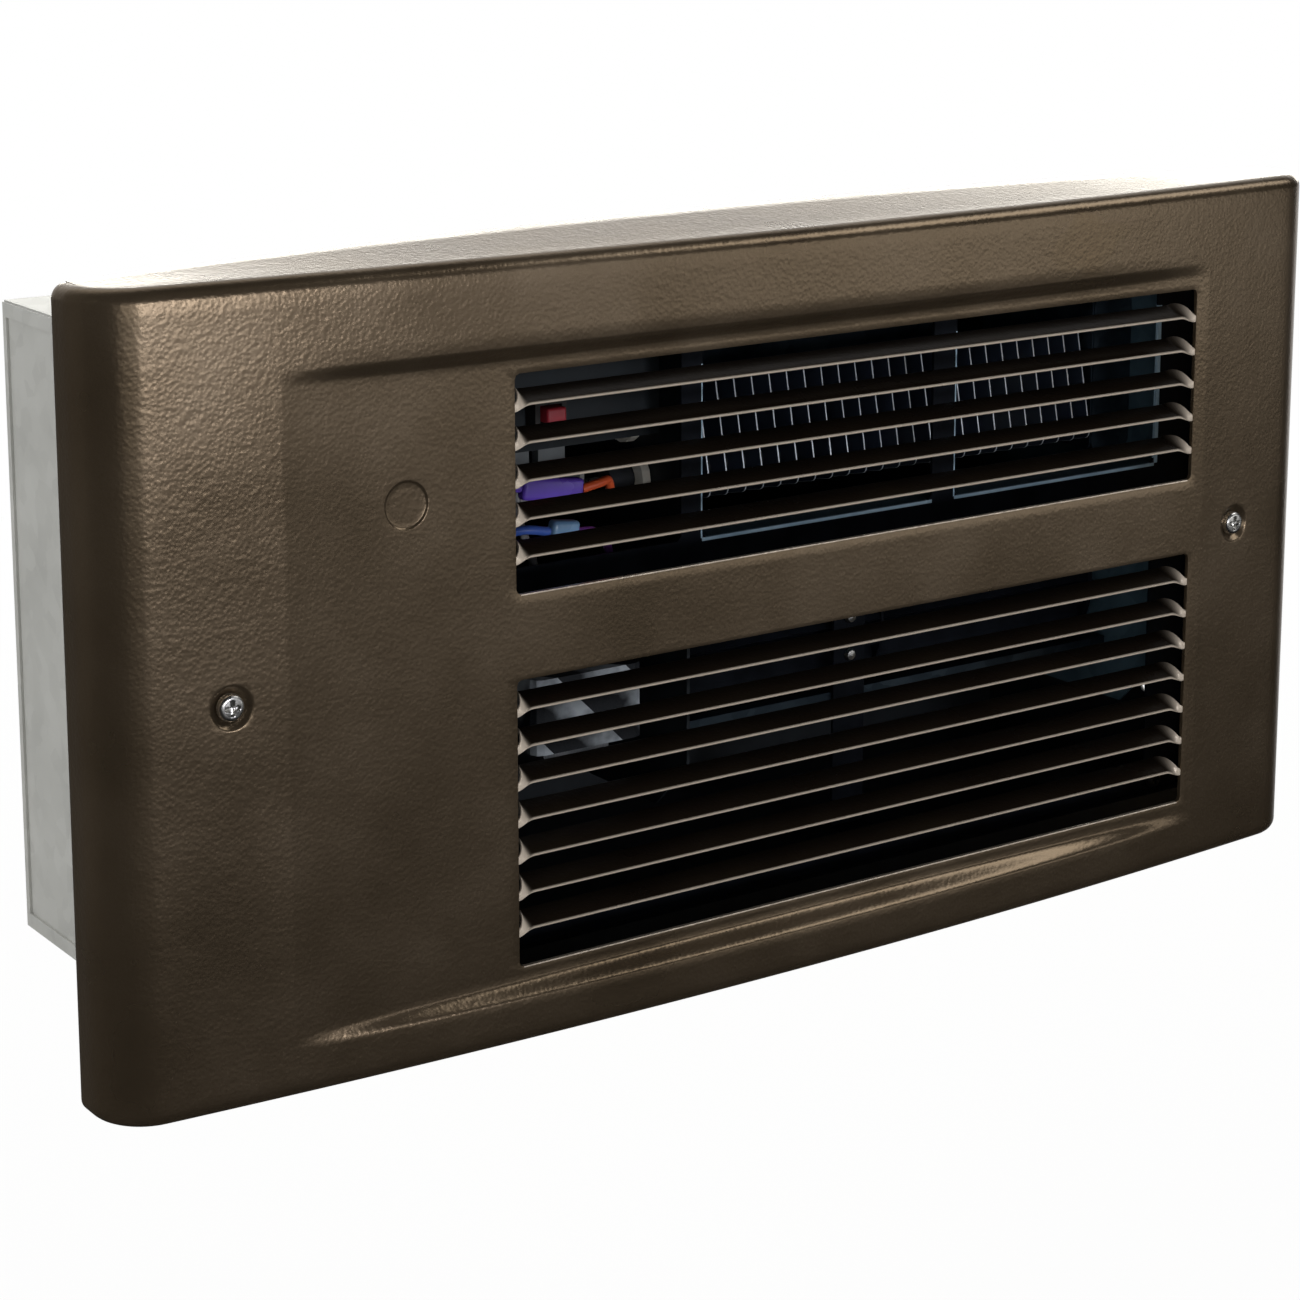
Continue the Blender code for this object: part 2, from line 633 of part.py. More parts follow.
def blade(name, front_edge):
    """A strip lanced from the panel and turned about its front edge, held by a narrow neck at each end."""
    front = BLADE_SHEET / 2 - panel_depth() + (COVER_SHEET - BLADE_SHEET) / 2
    tuck = 1.0 * MM
    steps = np.linspace(0, 1, 4)
    left = list(zip(GRILLE_LEFT + BLADE_TWIST * steps, steps))
    right = list(zip(GRILLE_RIGHT - BLADE_TWIST * steps, steps))
    bm = bmesh.new()
    rings = []
    for x, share in [(GRILLE_LEFT - tuck, 0), *left, *right[::-1], (GRILLE_RIGHT + tuck, 0)]:
        ease = (1 - math.cos(math.pi * share)) / 2
        angle = math.pi / 2 + (BLADE_TILT - math.pi / 2) * ease
        along = Vector((0, math.cos(angle), math.sin(angle)))
        across = Vector((0, -math.sin(angle), math.cos(angle))) * (BLADE_SHEET / 2)
        start = Vector((x, front, front_edge - BLADE_DROP * (1 - ease)))
        end = start + along * (BLADE_NECK + (BLADE_WIDTH - BLADE_NECK) * ease)
        rings.append([bm.verts.new(p) for p in (start - across, end - across, end + across, start + across)])
    for a, b in zip(rings, rings[1:]):
        for i in range(4):
            j = (i + 1) % 4
            bm.faces.new((a[i], a[j], b[j], b[i]))
    bm.faces.new(rings[0][::-1])
    bm.faces.new(rings[-1])
    return place(mesh_of(bm, name), name, bronze())


def front_cover():
    """The bowed steel cover: rolled ends, sunk panel, two louvred grilles, screw dimples, round knock-out."""
    cover = cover_body("front_cover", 0, 0)
    cut(cover, cover_body("cover_hollow", COVER_SHEET, 1 * MM))
    face = panel_depth()
    screw_depth = COVER_END_DEPTH + COVER_BOW * (1 - (2 * COVER_SCREW_X / COVER_WIDTH) ** 2)
    for side, x in (("left", -COVER_SCREW_X), ("right", COVER_SCREW_X)):
        start = (x, -screw_depth + COVER_SHEET / 2, COVER_RISE)
        end = (x, -screw_depth + DIMPLE_DEPTH + COVER_SHEET, COVER_RISE)
        join(cover, rod(f"dimple_cup_{side}", start, end, DIMPLE_RADIUS + COVER_SHEET, bronze()))
        dimple = [
            (0, COVER_EDGE),
            (DIMPLE_RADIUS + 0.4 * MM, COVER_EDGE),
            (DIMPLE_RADIUS, 0),
            (DIMPLE_RADIUS - DIMPLE_DEPTH, -DIMPLE_DEPTH),
            (COVER_SCREW_RADIUS + SEAT, -DIMPLE_DEPTH),
            (COVER_SCREW_RADIUS + SEAT, -DIMPLE_DEPTH - 3 * COVER_SHEET),
            (0, -DIMPLE_DEPTH - 3 * COVER_SHEET),
        ]
        cut(cover, turned(f"dimple_{side}", dimple, (x, -screw_depth, COVER_RISE), (0, -1, 0), bronze(), 20))
    groove = [
        (KNOCKOUT_RADIUS, COVER_SHEET),
        (KNOCKOUT_RADIUS, -COVER_SHEET / 2.5),
        (KNOCKOUT_RADIUS - 0.6 * MM, -COVER_SHEET / 2.5),
        (KNOCKOUT_RADIUS - 0.6 * MM, COVER_SHEET),
    ]
    spot = (KNOCKOUT_X, -face, COVER_RISE + KNOCKOUT_RISE)
    cut(cover, turned("knockout_ring", groove, spot, (0, -1, 0), bronze(), 28, True))
    for name, bottom, top in (("upper", UPPER_BOTTOM, UPPER_TOP), ("lower", LOWER_BOTTOM, LOWER_TOP)):
        count = 1 + int((top - bottom - TOP_SLOT - LAST_SLOT) / BLADE_PITCH)
        opening = rectangle((GRILLE_LEFT, bottom), (GRILLE_RIGHT, top), 1.5 * MM, 2)
        start = -face - COVER_SHEET
        cut(cover, plate(f"{name}_opening", [opening], FACING_ROOM, start, 3 * COVER_SHEET, bronze()))
        for i in range(count):
            join(cover, blade(f"{name}_blade_{i + 1}", top - TOP_SLOT - i * BLADE_PITCH))
    return cover


def pan_screw(name, seat, axis, radius, head, length, colour):
    """A pan-head screw with a cross recess. The seat is the point under its head, and the axis points out."""
    height = head * 0.62
    profile = [
        (0, height),
        (head * 0.55, height * 0.93),
        (head * 0.9, height * 0.6),
        (head, height * 0.2),
        (head, 0),
        (radius, 0),
        (radius, radius - length),
        (radius * 0.4, -length),
        (0, -length),
    ]
    made = turned(name, profile, seat, axis, colour, 16)
    outward = Vector(axis).to_track_quat("Z", "Y").to_matrix().to_4x4()
    arm, width = head * 0.55, head * 0.16
    for letter, (a, b) in (("a", (arm, width)), ("b", (width, arm))):
        slot = block(f"{name}_slot_{letter}", (-a, -b, height * 0.35), (a, b, 2 * height), colour)
        slot.matrix_world = Matrix.Translation(seat) @ outward @ slot.matrix_world
        cut(made, slot)
    return made


def cover_screws():
    """The two long screws that pull the cover to the wall: each passes its dimple and ends in the deck."""
    screw_depth = COVER_END_DEPTH + COVER_BOW * (1 - (2 * COVER_SCREW_X / COVER_WIDTH) ** 2)
    seat_y = -screw_depth + DIMPLE_DEPTH - SEAT
    length = DECK_BACK + 4 * MM - seat_y
    for side, x in (("left", -COVER_SCREW_X), ("right", COVER_SCREW_X)):
        name = f"cover_screw_{side}"
        seat = (x, seat_y, COVER_RISE)
        pan_screw(name, seat, (0, -1, 0), COVER_SCREW_RADIUS, COVER_SCREW_HEAD, length, bright_steel())


def deck_plate():
    """The black plate that carries the works, with two outlet windows, the wiring window and the inlet."""
    edge_x, edge_z = CAN_INSIDE_X - SEAT, CAN_INSIDE_Z - SEAT
    round_ = 1.5 * MM
    loops = [
        rectangle((-edge_x, -edge_z), (edge_x, edge_z), 2 * MM),
        rectangle((WINDOW_LEFT, WINDOW_BOTTOM), (WINDOW_BAR_X - WINDOW_BAR / 2, WINDOW_TOP), round_, 1),
        rectangle((WINDOW_BAR_X + WINDOW_BAR / 2, WINDOW_BOTTOM), (WINDOW_RIGHT, WINDOW_TOP), round_, 1),
        rectangle((WIRING_LEFT, WINDOW_BOTTOM), (END_PLATE_LEFT - WIRING_MARGIN, WINDOW_TOP), round_, 1),
        rectangle((WIRING_LEFT, INLET_BOTTOM), (WINDOW_RIGHT, INLET_TOP), round_, 1),
    ]
    for x in (-DECK_SCREW_X, DECK_SCREW_X):
        for z in (-DECK_SCREW_Z, DECK_SCREW_Z):
            loops.append(circle((x, z), DECK_SCREW_RADIUS + SEAT, 12))
    for x in (-COVER_SCREW_X, COVER_SCREW_X):
        loops.append(circle((x, COVER_RISE), COVER_SCREW_RADIUS + SEAT, 12))
    plate("deck_plate", loops, FACING_ROOM, DECK_FRONT, DECK_SHEET, black_steel())
    spots = [(x, z) for z in (DECK_SCREW_Z, -DECK_SCREW_Z) for x in (-DECK_SCREW_X, DECK_SCREW_X)]
    for i, (x, z) in enumerate(spots):
        seat = (x, DECK_FRONT - SEAT, z)
        pan_screw(f"deck_screw_{i + 1}", seat, (0, -1, 0), DECK_SCREW_RADIUS, 3 * MM, 7 * MM, bright_steel())


def scroll_start():
    """Where the scroll begins, low in front of the wheel, and the angle there."""
    angle = math.radians(-140)
    reach = WHEEL_RADIUS + SCROLL_START_GAP
    return WHEEL_Y + reach * math.cos(angle), WHEEL_Z + reach * math.sin(angle), angle


def blower_scroll():
    """The sheet that wraps under and behind the wheel, rises up the back and returns over the element."""
    y, z, start = scroll_start()
    lip = [(y - 4 * MM, z - 4.5 * MM), (y - 4 * MM, z)]
    wrap = []
    for angle in np.linspace(start, 0, 10):
        share = (angle - start) / -start
        reach = WHEEL_RADIUS + SCROLL_START_GAP + (SCROLL_END_GAP - SCROLL_START_GAP) * share
        wrap.append((WHEEL_Y + reach * math.cos(angle), WHEEL_Z + reach * math.sin(angle)))
    back = wrap[-1][0]
    crown = [
        (
            back - SCROLL_ROUND + SCROLL_ROUND * math.cos(angle),
            SCROLL_TOP - SCROLL_ROUND + SCROLL_ROUND * math.sin(angle),
        )
        for angle in np.linspace(0, math.pi / 2, 6)
    ]
    line = lip + wrap + crown + [(DUCT_FRONT, SCROLL_TOP)]
    width = DUCT_RIGHT - DUCT_LEFT - 2 * SEAT
    outline = ribbon(line, DUCT_SHEET)
    return plate("blower_scroll", [outline], FACING_SIDE, DUCT_LEFT + SEAT, width, galvanised())


def tongue_nose():
    angle = math.radians(137)
    reach = WHEEL_RADIUS + TONGUE_GAP + TONGUE_ROUND + DUCT_SHEET / 2
    return WHEEL_Y + reach * math.cos(angle), WHEEL_Z + reach * math.sin(angle)


def scroll_tongue():
    """The folded sheet that parts the intake from the outlet, with its round nose close to the wheel."""
    y, z = tongue_nose()
    top = (DUCT_FRONT + TONGUE_SHELF, WINDOW_BOTTOM)
    away = math.atan2(top[1] - z, top[0] - y)
    first = away - math.acos(TONGUE_ROUND / math.hypot(top[0] - y, top[1] - z))
    nose = [
        (y + TONGUE_ROUND * math.cos(angle), z + TONGUE_ROUND * math.sin(angle))
        for angle in np.linspace(first, -math.pi / 2, 7)
    ]
    line = [(DUCT_FRONT, WINDOW_BOTTOM - DUCT_SHEET), top, *nose, (DUCT_FRONT, INLET_TOP + DUCT_SHEET)]
    width = DUCT_RIGHT - DUCT_LEFT - 2 * SEAT
    outline = ribbon(line, DUCT_SHEET)
    return plate("scroll_tongue", [outline], FACING_SIDE, DUCT_LEFT + SEAT, width, galvanised())


def element_point(along):
    """A point on the element's leaning mid line, given its distance above the centre."""
    centre = Vector((0, ELEMENT_Y, ELEMENT_Z)) + ELEMENT_UP * along
    return centre.y, centre.z


def end_plates():
    """The two side plates of the blower: the left one holds the motor, the right one the end bearing."""
    deep = WHEEL_Y + WHEEL_RADIUS + SCROLL_END_GAP + END_PLATE_RIM
    low = WHEEL_Z - WHEEL_RADIUS - SCROLL_END_GAP
    outline = [
        (DUCT_FRONT, low + END_PLATE_CORNER),
        (DUCT_FRONT + END_PLATE_CORNER, low),
        (deep - END_PLATE_CORNER, low),
        (deep, low + END_PLATE_CORNER),
        (deep, SCROLL_TOP - END_PLATE_CORNER / 2),
        (deep - END_PLATE_CORNER / 2, SCROLL_TOP + END_PLATE_RIM),
        (DUCT_FRONT, SCROLL_TOP + END_PLATE_RIM),
    ]
    axis = (WHEEL_Y, WHEEL_Z)
    left = [outline, circle(axis, HUB_RADIUS + 2 * MM)]
    bush_hole = ELEMENT_TUBE + CERAMIC_WALL + SEAT
    left += [circle(element_point(side * ELEMENT_SPACING / 2), bush_hole, 16) for side in (-1, 1)]
    left += [circle(spot, MOTOR_SCREW_RADIUS + SEAT, 12) for spot in motor_screw_spots()]
    plate("scroll_end_left", left, FACING_SIDE, END_PLATE_LEFT, DUCT_SHEET, galvanised())
    right = [outline, circle(axis, BUSH_RADIUS + 4 * MM)]
    plate("scroll_end_right", right, FACING_SIDE, DUCT_RIGHT, DUCT_SHEET, galvanised())


def motor_screw_spots():
    """The two screws on opposite corners of the stack, as (y, z)."""
    return [(WHEEL_Y + side * MOTOR_SCREW_OFFSET, WHEEL_Z + side * MOTOR_SCREW_OFFSET) for side in (-1, 1)]


def impeller():
    """The cross-flow wheel: forward-curved blades between two end discs, with a disc at mid length."""
    inner = WHEEL_RADIUS - WHEEL_BLADE_DEPTH
    steps = 4
    loops = []
    for i in range(WHEEL_BLADES):
        base = 2 * math.pi * i / WHEEL_BLADES
        line = []
        for share in np.linspace(0, 1, steps):
            reach = inner + (WHEEL_BLADE_DEPTH - 0.5 * MM) * share
            angle = base + 0.28 * share**1.6
            line.append((WHEEL_Y + reach * math.cos(angle), WHEEL_Z + reach * math.sin(angle)))
        loops.append(ribbon(line, WHEEL_BLADE_SHEET))
    edge = WHEEL_DISC / 2
    length = WHEEL_RIGHT - WHEEL_LEFT - 2 * edge
    wheel = plate("impeller", loops, FACING_SIDE, WHEEL_LEFT + edge, length, black_steel())
    middle = (WHEEL_LEFT + WHEEL_RIGHT) / 2
    for name, start, thickness in (
        ("left", WHEEL_LEFT, WHEEL_DISC),
        ("middle", middle - WHEEL_DISC / 4, WHEEL_DISC / 2),
        ("right", WHEEL_RIGHT - WHEEL_DISC, WHEEL_DISC),
    ):
        disc = circle((WHEEL_Y, WHEEL_Z), WHEEL_RADIUS, 36)
        join(wheel, plate(f"wheel_disc_{name}", [disc], FACING_SIDE, start, thickness, black_steel()))
    spot = (WHEEL_Y, WHEEL_Z)
    for name, end, inward in (("left", WHEEL_LEFT, 1), ("right", WHEEL_RIGHT, -1)):
        base, tip = end + inward * WHEEL_DISC / 2, end + inward * (WHEEL_DISC + HUB_LENGTH)
        join(wheel, rod(f"wheel_hub_{name}", (base, *spot), (tip, *spot), HUB_RADIUS, black_steel(), 16))
        low, high = sorted((end - inward * WHEEL_DISC, tip + inward * WHEEL_DISC))
        cut(wheel, bores(f"wheel_bore_{name}", [spot], "X", low, high, SHAFT_RADIUS + SEAT, 16))
    return wheel


def shafts():
    """The motor shaft, which drives the wheel's left hub, and the stub that carries its right end."""
    left = STACK_LEFT - BRIDGE_SHEET - BUSH_LENGTH - 3 * MM
    spot = (WHEEL_Y, WHEEL_Z)
    rod("motor_shaft", (left, *spot), (WHEEL_LEFT + HUB_LENGTH, *spot), SHAFT_RADIUS, bright_steel(), 16)
    right = DUCT_RIGHT + DUCT_SHEET + BUSH_LENGTH
    left = WHEEL_RIGHT - HUB_LENGTH
    rod("wheel_stub_shaft", (left, *spot), (right, *spot), SHAFT_RADIUS, bright_steel(), 16)


def end_bearing():
    """The right bearing: a sintered bush in a grooved rubber ring that snaps into the end plate."""
    hole = BUSH_RADIUS + 4 * MM
    lip = hole + 2 * MM
    edge = DUCT_SHEET / 2 + SEAT
    half = edge + 2 * MM
    inner = BUSH_RADIUS + SEAT
    ring = [
        (lip, half),
        (lip, edge),
        (hole - SEAT, edge),
        (hole - SEAT, -edge),
        (lip, -edge),
        (lip, -half),
        (inner, -half),
        (inner, half),
    ]
    centre = (DUCT_RIGHT + DUCT_SHEET / 2, WHEEL_Y, WHEEL_Z)
    turned("bearing_grommet", ring, centre, (1, 0, 0), nylon("rubber", (0.02, 0.02, 0.02)), 24, True)
    bush("end_bush", centre, BUSH_LENGTH)


def bush(name, centre, length):
    """A sintered bronze bush round the shaft."""
    bore = SHAFT_RADIUS + RUNNING_GAP
    ring = [(BUSH_RADIUS, length / 2), (BUSH_RADIUS, -length / 2), (bore, -length / 2), (bore, length / 2)]
    colour = finish("sintered_bronze", (0.42, 0.25, 0.1), 0.5, 0.9)
    turned(name, ring, centre, (1, 0, 0), colour, 20, True)


def motor():
    """The shaded-pole motor: laminated stack, coil, rotor, two bridges with bushes, standoffs and screws."""
    steel = finish("lamination_steel", (0.3, 0.31, 0.32), 0.45, 0.9)
    near = WHEEL_Y - STACK_HALF
    window_near = near - COIL_WINDOW
    leg = window_near - COIL_LEG
    outline = rectangle((leg, WHEEL_Z - STACK_HALF), (WHEEL_Y + STACK_HALF, WHEEL_Z + STACK_HALF), 3 * MM, 2)
    hold = COIL_HEIGHT / 2 + SEAT
    loops = [
        outline,
        circle((WHEEL_Y, WHEEL_Z), ROTOR_RADIUS + ROTOR_GAP, 24),
        rectangle((window_near, WHEEL_Z - hold), (near, WHEEL_Z + hold)),
        *[circle(spot, MOTOR_SCREW_RADIUS + SEAT, 12) for spot in motor_screw_spots()],
    ]
    plate("motor_stack", loops, FACING_SIDE, STACK_LEFT, STACK_LENGTH, steel)

    coil_near, coil_far = leg - SEAT - COIL_BUILD, window_near + SEAT + COIL_BUILD
    left, right = STACK_LEFT - SEAT - COIL_BUILD, STACK_RIGHT + SEAT + COIL_BUILD
    ring = [
        rectangle((left, coil_near), (right, coil_far), 3 * MM, 2),
        rectangle((STACK_LEFT - SEAT, leg - SEAT), (STACK_RIGHT + SEAT, window_near + SEAT)),
    ]
    tape = nylon("coil_tape", (0.52, 0.5, 0.44))
    plate("motor_coil", ring, FACING_UP, WHEEL_Z - COIL_HEIGHT / 2, COIL_HEIGHT, tape)

    spot = (WHEEL_Y, WHEEL_Z)
    rotor = rod("motor_rotor", (STACK_LEFT, *spot), (STACK_RIGHT, *spot), ROTOR_RADIUS, steel, 28)
    cut(rotor, bores("rotor_bore", [spot], "X", 2 * STACK_LEFT, 0, SHAFT_RADIUS + SEAT, 16))

    for name, face, out in (("rear", STACK_LEFT - SEAT, -1), ("front", STACK_RIGHT + SEAT, 1)):
        motor_bridge(name, face, out)
        middle = face + out * (BRIDGE_SHEET + BUSH_LENGTH / 2)
        bush(f"motor_bush_{name}", (middle, *spot), BUSH_LENGTH)
    bridge_face = STACK_RIGHT + SEAT + BRIDGE_SHEET + SEAT
    outer = STACK_LEFT - 2 * SEAT - BRIDGE_SHEET
    for i, spot in enumerate(motor_screw_spots()):
        post = MOTOR_SCREW_RADIUS + 2.2 * MM
        high = END_PLATE_LEFT - SEAT - bridge_face
        wall = [(post, high), (post, 0), (MOTOR_SCREW_RADIUS + SEAT, 0), (MOTOR_SCREW_RADIUS + SEAT, high)]
        turned(f"motor_standoff_{i + 1}", wall, (bridge_face, *spot), (1, 0, 0), bright_steel(), 14, True)
        length = DUCT_LEFT + 4 * MM - outer
        name = f"motor_screw_{i + 1}"
        pan_screw(name, (outer, *spot), (-1, 0, 0), MOTOR_SCREW_RADIUS, 3.2 * MM, length, bright_steel())


def motor_bridge(name, face, out):
    """A cast bridge across the stack: a bar with round ends between the two screws, and the bush's hub."""
    low, high = (Vector(spot) for spot in motor_screw_spots())
    along = (high - low).normalized()
    half = BRIDGE_WIDTH / 2
    lean = math.atan2(along.y, along.x)
    points = []
    for centre, first in ((high, lean - math.pi / 2), (low, lean + math.pi / 2)):
        for angle in np.linspace(first, first + math.pi, 7):
            points.append((centre.x + half * math.cos(angle), centre.y + half * math.sin(angle)))
    holes = [circle(spot, MOTOR_SCREW_RADIUS + SEAT, 12) for spot in motor_screw_spots()]
    start = min(face, face + out * BRIDGE_SHEET)
    bridge = plate(f"motor_bridge_{name}", [points, *holes], FACING_SIDE, start, BRIDGE_SHEET, zinc())
    base = (face + out * BRIDGE_SHEET / 2, WHEEL_Y, WHEEL_Z)
    tip = (face + out * (BRIDGE_SHEET + BUSH_LENGTH), WHEEL_Y, WHEEL_Z)
    join(bridge, rod(f"bridge_hub_{name}", base, tip, BRIDGE_HUB, zinc(), 20))
    spot = [(WHEEL_Y, WHEEL_Z)]
    reach = 2 * (BRIDGE_SHEET + BUSH_LENGTH)
    low, high = sorted((face - out * BRIDGE_SHEET, face + out * reach))
    cut(bridge, bores(f"bridge_bore_{name}", spot, "X", low, high, BUSH_RADIUS + SEAT))
    return bridge


def heating_element():
    """The sheathed element: a hairpin tube through a leaning stack of plate fins."""
    colour = finish("element_steel", (0.4, 0.42, 0.44), 0.35, 0.9)
    half_up, half_in = FIN_HEIGHT / 2, FIN_DEPTH / 2
    lean = Matrix.Rotation(-ELEMENT_TILT, 4, "X")
    fins = []
    for i in range(FIN_COUNT):
        x = FIN_LEFT + i * FIN_PITCH
        fins.append(((x, -half_in, -half_up), (x + FIN_SHEET, half_in, half_up)))
    stack = blocks("heating_element", fins, colour)
    stack.matrix_world = Matrix.Translation((0, ELEMENT_Y, ELEMENT_Z)) @ lean
    radius = ELEMENT_SPACING / 2
    line = [(ELEMENT_COLD_END, radius)]
    for angle in np.linspace(math.pi / 2, -math.pi / 2, 9):
        bend = DUCT_RIGHT - ELEMENT_BEND_MARGIN
        line.append((bend + radius * math.cos(angle), radius * math.sin(angle)))
    line.append((ELEMENT_COLD_END, -radius))
    points = [(x, *element_point(along)) for x, along in line]
    hairpin = tube("element_hairpin", points, ELEMENT_TUBE, colour, 2)
    join(stack, hairpin)
    return stack


def element_fittings():
    """What holds the element: two perforated angle brackets, ceramic bushes in the left plate, cold pins."""
    ceramic = finish("white_ceramic", (0.75, 0.73, 0.68), 0.4, 0.0)
    spots = [element_point(side * ELEMENT_SPACING / 2) for side in (1, -1)]
    last_fin = FIN_LEFT + (FIN_COUNT - 1) * FIN_PITCH + FIN_SHEET
    front, back = ELEMENT_Y - FIN_DEPTH / 2 - 1 * MM, ELEMENT_Y + FIN_DEPTH / 2
    top, bottom = ELEMENT_Z + FIN_HEIGHT * 0.8, ELEMENT_Z - FIN_HEIGHT * 0.55
    holes = [circle(spot, ELEMENT_TUBE + SEAT, 16) for spot in spots]
    web_right = last_fin + BRACKET_GAP
    outline = rectangle((front, bottom), (back + 4 * MM, top), 2 * MM, 2)
    loops = [outline, *holes]
    right = plate("element_bracket_right", loops, FACING_SIDE, web_right, DUCT_SHEET, galvanised())
    cheek = rectangle((web_right + DUCT_SHEET / 2, bottom), (DUCT_RIGHT - SEAT, top), 2 * MM, 2)
    start = front - DUCT_SHEET / 2
    join(right, plate("bracket_cheek_right", [cheek], FACING_ROOM, start, DUCT_SHEET, galvanised()))
    web_left = FIN_LEFT - BRACKET_GAP - DUCT_SHEET
    left = plate("element_bracket_left", loops, FACING_SIDE, web_left, DUCT_SHEET, galvanised())
    cheek = rectangle((DUCT_LEFT + SEAT, bottom), (web_left + DUCT_SHEET / 2, top), 2 * MM, 2)
    join(left, plate("bracket_cheek_left", [cheek], FACING_ROOM, start, DUCT_SHEET, galvanised()))
    wall = ELEMENT_TUBE + CERAMIC_WALL
    inner = ELEMENT_TUBE + SEAT
    for i, spot in enumerate(spots):
        ring = [
            (wall, 3 * MM),
            (wall, -SEAT),
            (wall + 2 * MM, -SEAT),
            (wall + 2 * MM, -3 * MM),
            (inner, -3 * MM),
            (inner, 3 * MM),
        ]
        turned(f"element_bush_{i + 1}", ring, (END_PLATE_LEFT, *spot), (1, 0, 0), ceramic, 16, True)
        start = ELEMENT_COLD_END - SEAT
        tip = start - PIN_LENGTH
        pin = rod(f"element_pin_{i + 1}", (start, *spot), (tip, *spot), PIN_RADIUS, bright_steel(), 10)
        y, z = spot
        tab_low = (tip - TAB_LENGTH, y - TAB_SHEET / 2, z - TAB_WIDTH / 2)
        tab_high = (tip + 2 * MM, y + TAB_SHEET / 2, z + TAB_WIDTH / 2)
        join(pin, block(f"pin_tab_{i + 1}", tab_low, tab_high, bright_steel()))


def centre_strap():
    """The strap before the wheel: from under the tongue down to the can's floor and forward to the deck."""
    y, z = tongue_nose()
    front = DUCT_FRONT + DUCT_SHEET / 2
    middle = STRAP_Y + DUCT_SHEET / 2
    share = (middle - DUCT_FRONT) / (y - DUCT_FRONT)
    leg = INLET_TOP + DUCT_SHEET + (z - TONGUE_ROUND - INLET_TOP - DUCT_SHEET) * share
    top = leg - DUCT_SHEET / 2 - SEAT
    floor = STRAP_FLOOR_GAP + DUCT_SHEET / 2 - CAN_INSIDE_Z
    outline = ribbon([(front, INLET_BOTTOM), (front, floor), (middle, floor), (middle, top)], DUCT_SHEET)
    start = STRAP_X - STRAP_WIDTH / 2
    strap = plate("centre_strap", [outline], FACING_SIDE, start, STRAP_WIDTH, black_steel())
    spots = [(STRAP_X, top - (i + 1) * STRAP_WIDTH) for i in range(2)]
    cut(strap, bores("strap_holes", spots, "Y", 0, 2 * STRAP_Y, RIVET_RADIUS + SEAT, 10))
    for i, (x, z) in enumerate(spots):
        profile = [
            (0, RIVET_HEAD * 0.6),
            (RIVET_HEAD * 0.7, RIVET_HEAD * 0.45),
            (RIVET_HEAD, 0),
            (RIVET_RADIUS, 0),
            (RIVET_RADIUS, -DUCT_SHEET - 2 * SEAT),
            (0, -DUCT_SHEET - 2 * SEAT),
        ]
        turned(f"strap_rivet_{i + 1}", profile, (x, STRAP_Y - SEAT, z), (0, -1, 0), bright_steel(), 12)


def button_box(name, low, high, margin, colour):
    """A box round the reset button's own section, from one depth to another, wider by the margin."""
    across, up = BUTTON_WIDTH / 2 + margin, BUTTON_HEIGHT / 2 + margin
    return block(
        name, (CUTOUT_X - across, low, CUTOUT_Z - up), (CUTOUT_X + across, high, CUTOUT_Z + up), colour
    )


def thermal_cutout():
    """The cut-out beside the element: its bracket on the blower's left plate, body, tabs and reset button."""
    phenolic = nylon("black_phenolic", (0.02, 0.018, 0.016))
    back = CUTOUT_FRONT - SEAT
    start = back - CUTOUT_SHEET
    half_x, half_z = CUTOUT_WIDTH / 2, CUTOUT_HEIGHT / 2
    collar = RUNNING_GAP + COLLAR_WALL
    hole_x, hole_z = BUTTON_WIDTH / 2 + collar + SEAT, BUTTON_HEIGHT / 2 + collar + SEAT
    flange = END_PLATE_LEFT - SEAT
    low, high = (CUTOUT_X - half_x - 3 * MM, CUTOUT_Z - half_z - 2 * MM), (flange, CUTOUT_Z + half_z + 4 * MM)
    outline = rectangle(low, high)
    hole = rectangle((CUTOUT_X - hole_x, CUTOUT_Z - hole_z), (CUTOUT_X + hole_x, CUTOUT_Z + hole_z))
    bracket = plate("cutout_bracket", [outline, hole], FACING_ROOM, start, CUTOUT_SHEET, galvanised())
    low = (flange - CUTOUT_SHEET, start + CUTOUT_SHEET / 2, CUTOUT_Z + half_z - 4 * MM)
    high = (flange, back + CUTOUT_DEPTH, CUTOUT_Z + half_z + 4 * MM)
    join(bracket, block("cutout_flange", low, high, galvanised()))

    low = (CUTOUT_X - half_x, CUTOUT_FRONT, CUTOUT_Z - half_z)
    high = (CUTOUT_X + half_x, CUTOUT_FRONT + CUTOUT_DEPTH, CUTOUT_Z + half_z)
    body = block("cutout_body", low, high, phenolic)
    near, far = CUTOUT_FRONT - COLLAR_LENGTH, CUTOUT_FRONT + CUTOUT_SHEET
    join(body, button_box("cutout_collar", near, far, collar, phenolic))
    end = BUTTON_FRONT + BUTTON_LENGTH + BUTTON_TRAVEL + RUNNING_GAP
    cut(body, button_box("cutout_bore", 0, end, RUNNING_GAP, phenolic))
    middle = CUTOUT_FRONT + CUTOUT_DEPTH / 2
    tabs = []
    for x in cutout_tabs():
        bottom = CUTOUT_Z - half_z
        tabs.append(
            (
                (x - TAB_WIDTH / 2, middle - TAB_SHEET / 2, bottom - TAB_LENGTH),
                (x + TAB_WIDTH / 2, middle + TAB_SHEET / 2, bottom + 1 * MM),
            )
        )
    join(body, blocks("cutout_tabs", tabs, phenolic))
    red = nylon("red_nylon", (0.35, 0.02, 0.02))
    button_box("reset_button", BUTTON_FRONT, BUTTON_FRONT + BUTTON_LENGTH, 0, red)


